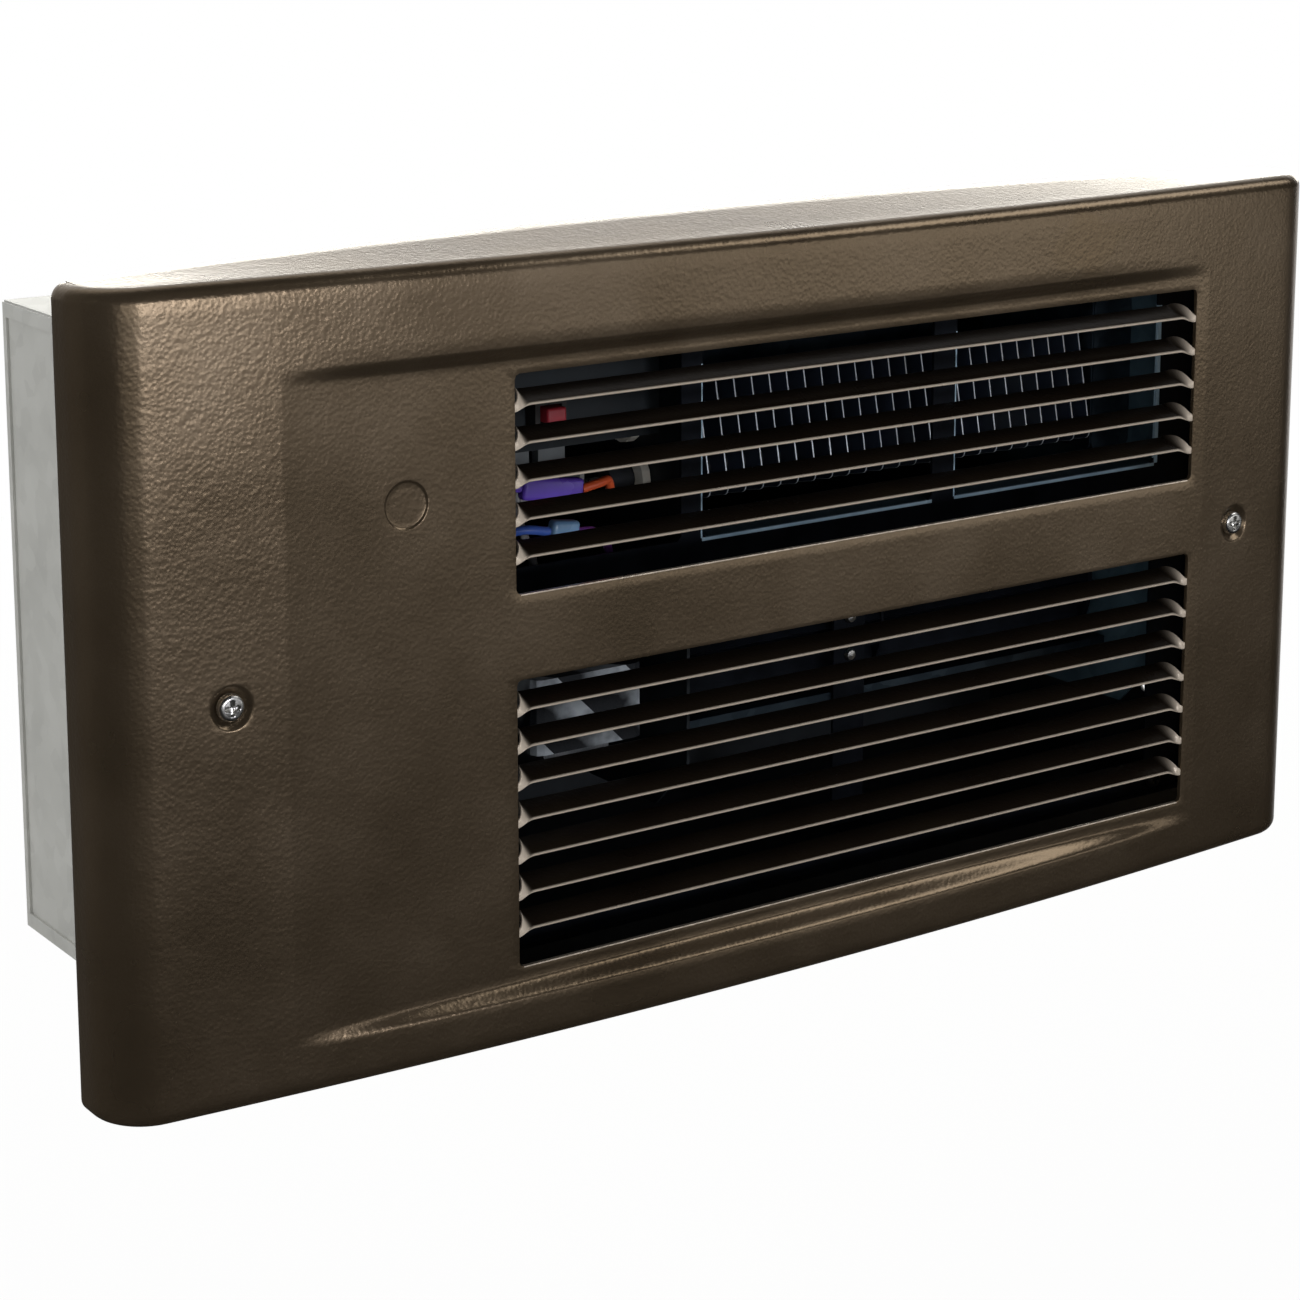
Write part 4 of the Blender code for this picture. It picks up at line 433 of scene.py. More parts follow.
def four_corners(half_wide, half_high, steps=4):
    """The angles of four quarter circles that follow each other, and the places of their centres."""
    turn = np.radians(np.concatenate([np.linspace(q * 90, q * 90 + 90, steps + 1) for q in range(4)]))
    across, up = np.repeat([1, -1, -1, 1], steps + 1), np.repeat([1, 1, -1, -1], steps + 1)
    return turn, across * half_wide, up * half_high


def fin_ring(inset, x):
    """A rounded rectangle in the fin's leaning plane, drawn in by the inset: four quarter circles joined."""
    corner = fin_corner - inset
    turn, near, high = four_corners(fin_depth / 2 - fin_corner, fin_height / 2 - fin_corner)
    near, high = near + corner * np.cos(turn), high + corner * np.sin(turn)
    ring = element_centre + near[:, None] * along_in + high[:, None] * along_up
    ring[:, 0] = x
    return ring


def fin_collar(x, up):
    """A drawn collar: a ring that flares from the fin to hug the leg over 2 mm, as a turned profile."""
    profile = np.array([[0.0, 0.0022], [0.0003, 0.0011], [0.0009, 0.0005], [0.0024, 0.00035]])
    turn = np.linspace(0, 2 * np.pi, 20, endpoint=False)
    reach = (leg_radius + profile[:, 1])[:, None, None]
    ring = np.cos(turn)[None, :, None] * along_in + np.sin(turn)[None, :, None] * along_up
    rings = element_centre + along_up * up + reach * ring
    rings[..., 0] = (x + fin_sheet + profile[:, 0])[:, None]
    return loft(rings, caps=False)


fins, collars = [], []
rim = 0.00008
for i in range(fin_count):
    x = fin_left + i * fin_pitch
    profile = ((rim, 0), (0, rim), (0, fin_sheet - rim), (rim, fin_sheet))
    fins.append(loft(np.stack([fin_ring(inset, x + along) for inset, along in profile])))
    collars += [fin_collar(x, up) for up in (-leg_spacing / 2, leg_spacing / 2)]
half = leg_spacing / 2
straight = np.linspace(cold_end, bend_x, 40)[:-1]
turn = np.linspace(np.pi / 2, -np.pi / 2, 25)
hairpin_x = np.concatenate([straight, bend_x + half * np.cos(turn), straight[::-1]])
leg = np.full(len(straight), half)
hairpin_up = np.concatenate([leg, half * np.sin(turn), -leg])
hairpin = element_centre + hairpin_up[:, None] * along_up
hairpin[:, 0] = hairpin_x
fin_steel = blued_steel("fin_steel", (0.055, 0.075, 0.12), (0.10, 0.12, 0.15), (0.86, 0.93, 1.0))
fin_stack = built("heating_element_fins", fins + collars, fin_steel, smooth=35)
per_fin = len(fins[0][0])
# Painted highlight: the fins' uncoated sheared edges are painted near white.
cut_highlight = np.zeros(len(fin_stack.data.vertices), np.float32)
cut_highlight[: fin_count * per_fin] = np.tile(np.repeat([0.0, 1.0, 1.0, 0.0], per_fin // 4), fin_count)
fin_stack.data.attributes.new("cut_highlight", "FLOAT", "POINT").data.foreach_set("value", cut_highlight)
sheath = blued_steel("sheath_steel", (0.07, 0.075, 0.085), (0.13, 0.115, 0.10))
legs = loft(tube_rings(hairpin, leg_radius, sides=20))
element_tube = built("heating_element_tube", [legs], sheath, smooth=35)
for piece in (fin_stack, element_tube):
    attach(piece, "heater")
    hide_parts("heating_element")


# Element fittings
# Two galvanised angle brackets at the ends of the fin stack, ceramic bushes where the cold legs pass the
# blower's left plate, and the terminal pins with their sleeved push-on receptacles.
bisque = [(0.3, (0.70, 0.66, 0.57)), (0.7, (0.82, 0.80, 0.75))]
ceramic = clouded("white_ceramic", 0.0, (160, 5), bisque, (0.35, 0.55), (3000, 2, 0.3, 0.00004))
sleeve = moulded("clear_nylon", (0.10, 0.11, 0.115), 0.3)
# The brackets take the shaded copies of the galvanised sheet: painted shade.
dress(shaded_works_steel, "element_bracket_left", "element_bracket_right")
dress(shaded_steel, "cutout_bracket")
dress(ceramic, "element_bush_1", "element_bush_2")
dress(bright_steel, "element_pin_1", "element_pin_2")
dress(sleeve, "element_spade_1", "element_spade_2", "cutout_spade_1", "cutout_spade_2")


# Centre strap and rivets
# A narrow steel strap that stiffens the deck across the wide inlet. It is bent from black strip, and two
# bright rivets near its top end hold it to the housing.
dress(enamel, "centre_strap")
dress(bright_steel, "strap_rivet_1", "strap_rivet_2")


# Thermal cut-out and reset button
# The safety switch: a black phenolic body with a square collar, and in it the red reset button, which
# sticks out behind the upper louvres and is pressed with a finger or a pencil between the blades.
def rounded_box(low, high, rounding):
    """A box between two corners with rounded edges: rings of a rounded rectangle, drawn in by a quarter
    circle at both ends of its depth (Y)."""
    low, high = np.array(low, float), np.array(high, float)
    middle, half = (low + high) / 2, (high - low) / 2
    bend = np.linspace(0, np.pi / 2, 5)
    back, drawn = rounding * (1 - np.sin(bend)), rounding * (1 - np.cos(bend))
    depth = np.concatenate([low[1] + back[::-1], high[1] - back])
    inset = np.concatenate([drawn[::-1], drawn])
    turn, right, up = four_corners(half[0] - rounding, half[2] - rounding)
    radius = (rounding - inset)[:, None]
    x = middle[0] + right + radius * np.cos(turn)
    z = middle[2] + up + radius * np.sin(turn)
    return loft(np.stack([x, np.broadcast_to(depth[:, None], x.shape), z], -1), flip=True)


dress(phenolic, "cutout_body")
button_round = 0.0008
red_nylon = moulded("red_nylon", (0.30, 0.018, 0.03), 0.34, sheen=0.4)
button_box = rounded_box(*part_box("reset_button"), button_round)
button = built("reset_button_fine", [button_box], red_nylon, smooth=50)
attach(button, "reset")
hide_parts("reset_button")


# Leads and in-line connectors
# Stranded copper leads in heat-proof insulation from the terminal block to the cut-out, element and motor.
# Two of them are joined by crimped splices in coloured nylon sleeves, which hang behind the upper louvres.
def turned_box(name, length, height, width, lean_angle, rounding):
    """A bar with a rounded section in Y and Z, carried along X and leant about the Y axis."""
    middle = np.mean(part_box(name), axis=0)
    half = np.array((width, length, height)) / 2
    points, faces = rounded_box(-half, half, rounding)
    across, along, thin = points[:, 0], points[:, 1], points[:, 2]
    c, s = math.cos(lean_angle), math.sin(lean_angle)
    x, y, z = along, thin, across
    return np.stack([middle[0] + x * c + z * s, middle[1] + y, middle[2] - x * s + z * c], -1), faces


violet_nylon = moulded("violet_nylon", (0.14, 0.07, 0.55), 0.3, sheen=0.5)
blue_nylon = moulded("blue_nylon", (0.20, 0.38, 0.62), 0.3, sheen=0.5)
connector_lean = math.radians(8)
sleeve_thick, sleeve_wide, sleeve_round = 0.004, 0.0066, 0.0012
gap = 0.0003
splices = []
for name, length, material, slot in (
    ("lead_connector_1", 0.020, violet_nylon, "violet_nylon"),
    ("lead_connector_2", 0.009, blue_nylon, "blue_nylon"),
):
    bar = turned_box(name, length, sleeve_thick, sleeve_wide, connector_lean, sleeve_round)
    splice = built(name + "_fine", [bar], material, smooth=50)
    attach(splice, "heater")
    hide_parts(name)
    reach = np.array([math.cos(connector_lean), 0.0, -math.sin(connector_lean)]) * (length / 2 + gap)
    middle = np.mean(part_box(name), axis=0)
    splices.append((middle - reach, middle + reach))


def lead_path(route):
    """A smooth curve through the route's points: each stretch is a cubic whose slope at a point is half the
    step between its two neighbours."""
    route = np.asarray(route, float)
    whole = np.vstack([2 * route[0] - route[1], route, 2 * route[-1] - route[-2]])
    a, b, c, d = (whole[i : len(whole) - 3 + i, None] for i in range(4))
    t = np.linspace(0, 1, 8, endpoint=False)[None, :, None]
    curve = (2 * b + (c - a) * t + (2 * a - 5 * b + 4 * c - d) * t**2 + (3 * b - a - 3 * c + d) * t**3) / 2
    return np.vstack([curve.reshape(-1, 3), route[-1]])


def from_base(base, *moves):
    """Points given by their distances in millimetres from a base point."""
    return [np.array(base) + np.array(move) * 0.001 for move in moves]


block_low, block_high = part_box("terminal_block")
coil_low, coil_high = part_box("motor_coil")
pin_1, pin_2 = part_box("element_spade_1"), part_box("element_spade_2")
terminal = (block_high[0] + gap, *np.mean((block_low, block_high), axis=0)[1:])
upper_clamp, lower_clamp = from_base(terminal, (0, 0, 7), (0, 0, -7))
spade_1, spade_2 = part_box("cutout_spade_1"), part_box("cutout_spade_2")
tab_left, tab_right = np.mean(spade_1, axis=0), np.mean(spade_2, axis=0)
below = spade_1[0][2] - gap
coil_top = coil_high[2] + gap
into_coil = 0.0055
coil_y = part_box("motor_stack")[0][1] + into_coil
element_end = pin_1[0][0] - gap
upper_pin, lower_pin = np.mean(pin_1, axis=0), np.mean(pin_2, axis=0)
pair, lead_radius, from_edge = 0.0016, 0.0013, 0.0035
black_tab, grey_tab = ((tab_left[0] + side, tab_left[1], below) for side in (-pair, pair))
coil_left, coil_right = ((x, coil_y, coil_top) for x in (coil_low[0] + from_edge, coil_high[0] - from_edge))
routes = {
    "violet": from_base(upper_clamp, (0, 0, 0), (7, -1, 1), (17, -14, 10), (25, -42, 24))
    + from_base(splices[0][0], (-21, 12, 2), (-10, 1, 1.6), (0, 0, 0)),
    "blue": from_base(lower_clamp, (0, 0, 0), (8, -2, -1), (21, -22, 3), (29, -50, 15))
    + from_base(splices[1][0], (-18, 9, -3), (-9, 1, 1.2), (0, 0, 0)),
    "white": from_base(terminal, (0, 0, 0), (9, 0, 0), (25, -12, 3), (45, -37, 12))
    + from_base((element_end, *lower_pin[1:]), (-13, 9, -10), (-5.5, 1, -2), (0, 0, 0)),
    "red": from_base(splices[0][1], (0, 0, 0), (6, 0, 1), (11, 3, 0.5), (13, 8, -5))
    + from_base((tab_right[0], tab_right[1], below), (2, 0, -8), (0, 0, -4), (0, 0, 0)),
    "black": from_base(black_tab, (0, 0, 0), (-0.5, -0.5, -5), (-6, -0.5, -8), (-11.5, 1, -2))
    + from_base((element_end, *upper_pin[1:]), (-20, -3, -8), (-13.5, 0, -1), (-6, 0, 0), (0, 0, 0)),
    "plum": from_base(splices[1][1], (0, 0, 0), (6, 0.5, -1), (12, 3, -6), (15.5, 6, -20))
    + from_base(coil_right, (0, 0, 8), (0, 0, 0)),
    "grey": from_base(coil_left, (0, 0, 0), (-1, -1, 8), (0, -2, 18), (4, -1, 28))
    + from_base(grey_tab, (0, -0.5, -10), (0, 0, 0)),
}
insulation = {
    "violet": (0.14, 0.07, 0.52), "blue": (0.07, 0.16, 0.62), "white": (0.72, 0.72, 0.68),
    "red": (0.66, 0.10, 0.03), "black": (0.016, 0.016, 0.016), "plum": (0.18, 0.05, 0.30),
    "grey": (0.28, 0.28, 0.28),
}
for name, route in routes.items():
    material = moulded(f"insulation_{name}", insulation[name], 0.38, 1800.0, 0.00003, 0.5)
    wire = loft(tube_rings(lead_path(route), lead_radius, sides=12))
    lead = built(f"lead_{name}_fine", [wire], material, smooth=60)
    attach(lead, "heater")
    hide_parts(f"lead_{name}")


# Front cover
# The bowed face that hides the can, rolled from 1.3 mm steel and powder-coated. It has rolled ends, flanges
# that meet the wall, a flat panel pressed back into the bow, screw dimples and a round knock-out.
cover_half = 0.2095
cover_top, cover_bottom, cover_rise = 0.111, -0.105, 0.003
end_depth, bow_height, roll, edge, arch, sheet = 0.020, 0.0091, 0.016, 0.004, 0.0039, 0.0013
panel_half, panel_top, panel_bottom, panel_step = 0.1595, 0.0831, -0.0877, 0.0045
grille_left, grille_right, grille_corner = -0.0914, 0.1546, 0.0015
upper_grille, lower_grille = (0.0199, 0.0795), (-0.0842, -0.0036)
screw_x, dimple_radius, dimple_depth = 0.175, 0.0057, 0.0018
knock_x, knock_z, knock_radius = -0.1244, 0.0487, 0.0064


def bow(x):
    """The face's distance from the wall: a parabola across the width, highest in the middle."""
    return end_depth + bow_height * (1 - (x / cover_half) ** 2)


def ease(t):
    """A soft step from 0 to 1: three squares less two cubes of the share."""
    t = np.clip(t, 0, 1)
    return t * t * (3 - 2 * t)


def face_depth(x, z):
    """The bow, less the share of it that the flat panel takes away: all of it inside the panel, and none
    beyond the soft steps along its top and bottom."""
    flat = bow(panel_half)
    under_top = ease((panel_top + panel_step - z) / panel_step)
    over_bottom = ease((z - panel_bottom + panel_step) / panel_step)
    return bow(x) - under_top * over_bottom * np.maximum(bow(x) - flat, 0)


def plan(columns):
    """The plan of the skin and its outward direction at columns that count -1..1 across the bow and beyond
    it round the rolled ends: there the angle runs on along a quarter circle, tangent to the parabola, down
    to the wall."""
    slope = 2 * bow_height / cover_half
    turn = np.pi / 2 - np.arctan(slope)
    meet = cover_half - roll + roll * np.cos(turn)
    centre = bow(meet) - roll * np.sin(turn)
    side = np.sign(columns)
    past = np.clip(np.abs(columns) - 1, 0, 1)
    angle = turn * (1 - past)
    straight = np.clip(np.abs(columns) - 2, 0, 1)
    on_bow = np.abs(columns) <= 1
    x = np.where(on_bow, columns * meet, side * (cover_half - roll + roll * np.cos(angle)))
    out = np.where(on_bow, bow(columns * meet), (centre + roll * np.sin(angle)) * (1 - straight))
    lean_x = np.where(on_bow, 2 * bow_height * columns * meet / cover_half**2, 0)
    size = np.hypot(lean_x, 1)
    normal_x = np.where(on_bow, lean_x / size, side * np.cos(angle))
    normal_y = np.where(on_bow, 1 / size, np.sin(angle))
    return x, out, normal_x, normal_y, meet


def spaced(*stops):
    """Grid lines: pairs of a stop and the number of steps to the next one."""
    lines = [np.linspace(a, b, n, endpoint=False) for (a, n), (b, _) in zip(stops, stops[1:])]
    return np.concatenate(lines + [[stops[-1][0]]])


patch_half, patch_steps = 0.0066, 12
knock_half, crease = 0.0075, 0.0006
patches = [(side * screw_x, cover_rise, patch_half) for side in (-1, 1)] + [(knock_x, knock_z, knock_half)]
meet = plan(np.zeros(1))[4]
face_x = spaced(
    (-meet, 4), (-screw_x - patch_half, patch_steps), (-screw_x + patch_half, 3),
    (-panel_half - crease, 1), (-panel_half, 1), (-panel_half + crease, 7),
    (knock_x - knock_half, patch_steps), (knock_x + knock_half, 7),
    (grille_left, 1), (grille_left + grille_corner, 34), (grille_right - grille_corner, 1), (grille_right, 2),
    (panel_half - crease, 1), (panel_half, 1), (panel_half + crease, 3),
    (screw_x - patch_half, patch_steps), (screw_x + patch_half, 4), (meet, 1),
)
roll_columns = 1 + np.concatenate([np.linspace(0, 1, 17)[1:], [1.34, 1.67, 2.0]])
columns = np.concatenate([-roll_columns[::-1], face_x / meet, roll_columns])
face_z = spaced(
    (cover_top - edge, 5), (panel_top + panel_step, 9), (panel_top, 2), (upper_grille[1], 1),
    (upper_grille[1] - grille_corner, 6), (knock_z + knock_half, patch_steps), (knock_z - knock_half, 8),
    (upper_grille[0] + grille_corner, 1), (upper_grille[0], 3), (cover_rise + patch_half, patch_steps),
    (lower_grille[1], 1), (lower_grille[1] - grille_corner, 24), (lower_grille[0] + grille_corner, 1),
    (lower_grille[0], 2), (panel_bottom, 9), (panel_bottom - panel_step, 4), (cover_bottom + edge, 1),
)
bend = np.linspace(0, np.pi / 2, 9)[1:]
flange = np.linspace(0, 1, 6)[1:]
short, drawn = edge * (1 - np.sin(bend)), edge * (1 - np.cos(bend))
z_rows = np.concatenate([cover_top - short[::-1], face_z, cover_bottom + short])
moved_rows = np.concatenate([drawn[::-1], 0 * face_z, drawn])
x, out, normal_x, normal_y, meet = plan(columns)
skin_x = x[None, :] - moved_rows[:, None] * normal_x
skin_out = out[None, :] - moved_rows[:, None] * normal_y
level = np.broadcast_to(z_rows[:, None], skin_x.shape)
pressed = np.where(np.abs(x) < panel_half, bow(x) - face_depth(x[None, :], level), 0)
pressed = np.where(moved_rows[:, None] > 0, 0, pressed)
skin = np.stack([skin_x, -(skin_out - pressed), level], -1)
skin[:, [0, -1], 1] = 0
for side, row, wall in ((1, 0, cover_top), (-1, -1, cover_bottom)):
    rim = skin[row].copy()
    foot = rim.copy()
    foot[:, 1] = 0
    foot[:, 2] = wall + side * arch * (1 - (foot[:, 0] / cover_half) ** 2)
    rows = rim + flange[:, None, None] * (foot - rim)
    skin = np.concatenate([rows[::-1], skin]) if side > 0 else np.concatenate([skin, rows])


def holes_cut(skin):
    """The grid's quads, less those inside the grilles, the dimple squares and the knock-out's square. A
    grille's corner points are first drawn in onto its corner circles."""
    x, z = skin[..., 0], skin[..., 2]
    eps, pull = 1e-6, 0.293 * grille_corner
    for bottom, top in (upper_grille, lower_grille):
        for a, sign_x in ((grille_left, 1), (grille_right, -1)):
            for b, sign_z in ((bottom, 1), (top, -1)):
                here = (abs(x - a) < eps) & (abs(z - b) < eps)
                skin[here, 0] += sign_x * pull
                skin[here, 2] += sign_z * pull
    index = np.arange(x.size).reshape(x.shape)
    quads = np.stack([index[:-1, :-1], index[1:, :-1], index[1:, 1:], index[:-1, 1:]], -1).reshape(-1, 4)
    middle = skin.reshape(-1, 3)[quads].mean(1)
    gone = np.zeros(len(quads), bool)
    squares = [(grille_left, grille_right, *grille) for grille in (upper_grille, lower_grille)]
    squares += [(x - half, x + half, z - half, z + half) for x, z, half in patches]
    for left, right, low, high in squares:
        gone |= (middle[:, 0] > left) & (middle[:, 0] < right) & (middle[:, 2] > low) & (middle[:, 2] < high)
    return quads[~gone & (middle[:, 1] < 1)]


def round_patch(centre_x, centre_z, half, profile):
    """What fills a square hole in the grid: rings that pass from the square to a circle, and then follow a
    turned profile of (radius, depth) pairs. Each point lies at its depth behind the face there."""
    steps = np.linspace(-1, 1, patch_steps, endpoint=False)
    one = np.ones(patch_steps)
    sides = ((steps, -one), (one, steps), (-steps, one), (-one, -steps))
    square = np.concatenate([np.stack(side, -1) for side in sides])
    circle = square / np.linalg.norm(square, axis=1)[:, None]
    radius, depth = np.array(profile).T
    rings = [square * half, (square * half + circle * radius[0]) / 2]
    rings += [circle * r for r in radius]
    rings = np.stack(rings)
    depth = np.concatenate([[0, 0], depth])
    x, z = centre_x + rings[..., 0], centre_z + rings[..., 1]
    y = -(face_depth(x, z) - depth[:, None])
    points, faces = loft(np.stack([x, y, z], -1), caps=False)
    return points, faces, len(square)


soft, sunk = 0.0005, 0.0005
cone_foot = dimple_radius - dimple_depth
dimple = [
    (dimple_radius + soft, 0.0), (dimple_radius + 0.00015, 0.00007), (dimple_radius - 0.0002, 0.0003),
    (cone_foot + 0.0003, dimple_depth - 0.0003), (cone_foot - 0.0001, dimple_depth - 0.00005),
    (cone_foot - 0.0005, dimple_depth), (0.0023, dimple_depth),
]
ring = [
    (knock_radius + 0.0003, 0.0), (knock_radius + 0.0001, 0.00002), (knock_radius - 0.00005, 0.00014),
    (knock_radius - 0.0003, sunk - 0.00006), (knock_radius - 0.0006, sunk),
    (0.0045, sunk), (0.003, sunk), (0.0015, sunk), (0.0002, sunk),
]
quads = holes_cut(skin)
kept, place_of = np.unique(quads, return_inverse=True)
skin_shells = [(skin.reshape(-1, 3)[kept], place_of.reshape(-1, 4).tolist())]
for (place_x, place_z, half_side), profile in zip(patches, (dimple, dimple, ring)):
    points, faces, around = round_patch(place_x, place_z, half_side, profile)
    if profile is ring:
        last = len(points) - around
        faces.append([last + i for i in range(around)])
    skin_shells.append((points, faces))


def bronze_coat(name, dark, middle, pale, light_tone, lit_boxes=(), metallic=0.85, sheen=0.4):
    """Bronze powder coat: a leathery peel with grains 1.1 mm across over a slower swell, specks of metal
    flake, and gloss that changes a little from place to place. Where the mesh's edge attribute is 1 and
    inside
    the lit boxes it takes the light tone: a painted highlight along the edges."""
    material, tree, shader, spot = blank(name, metallic, Specular_IOR_Level=sheen)
    slow = noise(tree, spot, 24, 4)
    both = combine(tree, "ADD", slow, combine(tree, "MULTIPLY", noise(tree, spot, 3200, 1), 0.35))
    colour = tones(tree, spread(tree, both, 0.0, 1.0, 0.45, 0.95), [(0.0, dark), (0.5, middle), (1.0, pale)])
    colour = in_boxes(tree, spot, lit_boxes, at_cut_highlights(tree, colour, light_tone), light_tone)
    peel = step(tree, "TexVoronoi", {"Vector": spot, "Scale": 900.0, "Smoothness": 0.6}, feature="SMOOTH_F1")
    swell = bump(tree, noise(tree, spot, 380, 2), 0.28, 0.0002, bump(tree, peel, 0.34, 0.00012))
    put_on(tree, shader, colour, spread(tree, slow, 0.26, 0.32), swell)
    return material


# The pale colour of the painted highlights along edges, sills, blade lines and necks.
highlight_bronze = (0.58, 0.50, 0.41)
# The grilles' lower sills: thin boxes painted pale as highlights.
sill_highlights = [
    ((grille_left + grille_corner, None, low - 0.0003), (grille_right - grille_corner, None, low + 0.0001))
    for low, _ in (upper_grille, lower_grille)
]
bronze = bronze_coat(
    "bronze_powder_coat", (0.122, 0.089, 0.055), (0.150, 0.111, 0.071), (0.186, 0.141, 0.094),
    highlight_bronze, sill_highlights,
)
cover = built("front_cover_skin", skin_shells, bronze, smooth=60)
merge = cover.modifiers.new("seams", "WELD")
merge.merge_threshold = 0.00002
wall = cover.modifiers.new("sheet", "SOLIDIFY")
wall.thickness = sheet
wall.offset = -1
rounding = cover.modifiers.new("coated edges", "BEVEL")
rounding.width = 0.00025
rounding.segments = 2
rounding.limit_method = "ANGLE"
rounding.angle_limit = math.radians(55)
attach(cover, "heater")
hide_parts("front_cover")


# Louvre blades
# Twelve strips lanced from the cover's own sheet and turned about their front edges, so that the works are
# hidden and the air passes. A narrow neck is left of the sheet at each end; the coat rounds the cut edges.
blade_pitch, blade_width, blade_sheet, blade_tilt = 0.01031, 0.0086, 0.0010, math.radians(17)
blade_neck, blade_drop, blade_twist, top_slot, neck_root = 0.0024, 0.0017, 0.0056, 0.0087, 0.001
# The necks are painted pale as highlights, more at the left end than at the right.
neck_highlight_shares = 1.7, 0.8


def blade_shell(front_edge):
    """A stadium section carried from neck to neck: over each twist the section turns from upright to the
    blade's tilt and widens, by a cosine ease of the distance. A painted highlight follows the front edge in a
    narrow line, and covers the neck at each end, more at the left than at the right."""
    face = bow(panel_half)
    front = -face + sheet / 2
    reach = np.linspace(0, 1, 12)
    left, right = grille_left + blade_twist * reach, grille_right - blade_twist * reach
    between = np.linspace(left[-1], right[-1], 14)[1:-1]
    x = np.concatenate([[grille_left - neck_root], left, between, right[::-1], [grille_right + neck_root]])
    share = np.concatenate([[0], reach, np.ones(len(between)), reach[::-1], [0]])
    turned = (1 - np.cos(np.pi * share)) / 2
    angle = np.pi / 2 + (blade_tilt - np.pi / 2) * turned
    width = blade_neck + (blade_width - blade_neck) * turned
    radius = blade_sheet / 2
    bend = np.linspace(-np.pi / 2, np.pi / 2, 7)
    near = np.stack([-np.cos(bend) * radius, -np.sin(bend) * radius], -1)[::-1]
    far = np.stack([np.cos(bend) * radius, -np.sin(bend) * radius], -1)
    near[:, 0] += radius
    fixed = np.broadcast_to(near[:, 0], (len(x), len(bend)))
    along = np.concatenate([fixed, width[:, None] - radius + far[:, 0]], 1)
    across = np.broadcast_to(np.concatenate([near[:, 1], far[:, 1]]), along.shape)
    cos, sin = np.cos(angle)[:, None], np.sin(angle)[:, None]
    y = front + along * cos - across * sin
    z = front_edge - blade_drop * (1 - turned)[:, None] + along * sin + across * cos
    points, faces = loft(np.stack([np.broadcast_to(x[:, None], y.shape), y, z], -1), flip=True)
    line = np.concatenate([(1 - np.abs(np.linspace(-1, 1, len(bend)))) ** 1.6, np.zeros(len(bend))])
    neck_highlights = ease((1 - turned) * np.where(x < 0, *neck_highlight_shares))
    bright = np.maximum(line[None, :], neck_highlights[:, None])
    cut_highlights.append(bright.ravel())
    return points, faces


blades, cut_highlights = [], []
for (bottom, top), count in ((upper_grille, 5), (lower_grille, 7)):
    blades += [blade_shell(top - top_slot - i * blade_pitch) for i in range(count)]
# A far darker copy of the cover's coat: painted shade, for the blades lie in each other's shadow.
shaded_bronze = bronze_coat(
    "shaded_louvre_coat", (0.009, 0.006, 0.004), (0.013, 0.009, 0.006), (0.018, 0.013, 0.008), highlight_bronze,
    metallic=0.3, sheen=0.05,
)
louvres = built("louvre_blades", blades, shaded_bronze, smooth=50)
# The painted highlights: the front-edge lines and the necks.
bright = np.concatenate(cut_highlights).astype(np.float32)
louvres.data.attributes.new("cut_highlight", "FLOAT", "POINT").data.foreach_set("value", bright)
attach(louvres, "heater")
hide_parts("front_cover")


# Cover screws
# Two long pan-head machine screws, zinc plated, that pass the dimples and the hollow of the cover and pull
# it against the wall. The head is a low dome with a cross recess, and the shank is threaded at its end.
def pan_head(side_x, low_y, high_y):
    """A turned profile of radius against distance from the front. In the head's middle the surface sinks
    along two crossing slots, by a soft step of the distance from the nearer of their centre lines."""
    head, shank = 0.0036, 0.0020
    pitch, thread_depth = 0.0009, 0.00013
    crown, slot_reach, slot_half, slot_lip = 0.62 * head, 0.6 * head, 0.19 * head, 0.07 * head
    tall = 0.62 * head
    turn = np.linspace(0, 2 * np.pi, 64, endpoint=False)
    inner = np.linspace(0.02, 0.62, 16) * head
    outward = np.linspace(0, 1, 12)[1:]
    radius = np.concatenate([inner, crown + 0.38 * head * np.sin(outward * np.pi / 2)])
    shoulder = 0.95 * np.sqrt(np.clip(1 - outward**2.2, 0, 1))
    height = tall * np.concatenate([1 - 0.05 * (inner / crown) ** 2, shoulder])
    a, b = radius[:, None] * np.cos(turn), radius[:, None] * np.sin(turn)
    upright = np.where(np.abs(b) < slot_reach, np.abs(a), 1)
    level = np.where(np.abs(a) < slot_reach, np.abs(b), 1)
    slot = np.minimum(upright, level)
    ends = ease((slot_reach - radius[:, None]) / (0.10 * head))
    sunk = 0.62 * tall * ease((slot_half - slot) / slot_lip) * ends * (1 - 0.5 * radius[:, None] / head)
    front = low_y + tall - (np.broadcast_to(height[:, None], a.shape) - sunk)
    head_rings = np.stack([side_x + a, front, cover_rise + b], -1)
    along = np.linspace(0, 1, 60)[1:]
    length = high_y - low_y - tall
    worm = thread_depth * np.sin(2 * np.pi * along * length / pitch) * (along > 0.55) * (along < 0.97)
    point = shank * (1 - 0.5 * np.clip((along - 0.96) / 0.04, 0, 1))
    radius = np.concatenate([[head, shank], point + worm])
    depth = low_y + tall + np.concatenate([[0, 0], along * length])
    a, b = radius[:, None] * np.cos(turn), radius[:, None] * np.sin(turn)
    shank_rings = np.stack([side_x + a, np.broadcast_to(depth[:, None], a.shape), cover_rise + b], -1)
    return loft(np.concatenate([head_rings, shank_rings]), flip=True)


zinc_plate = plated("zinc_plate", (0.70, 0.69, 0.66), 0.24)
for name in ("cover_screw_left", "cover_screw_right"):
    low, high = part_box(name)
    turned = pan_head((low[0] + high[0]) / 2, low[1], high[1])
    screw = built(f"{name}_fine", [turned], zinc_plate, smooth=35)
    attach(screw, "heater")
    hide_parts(name)


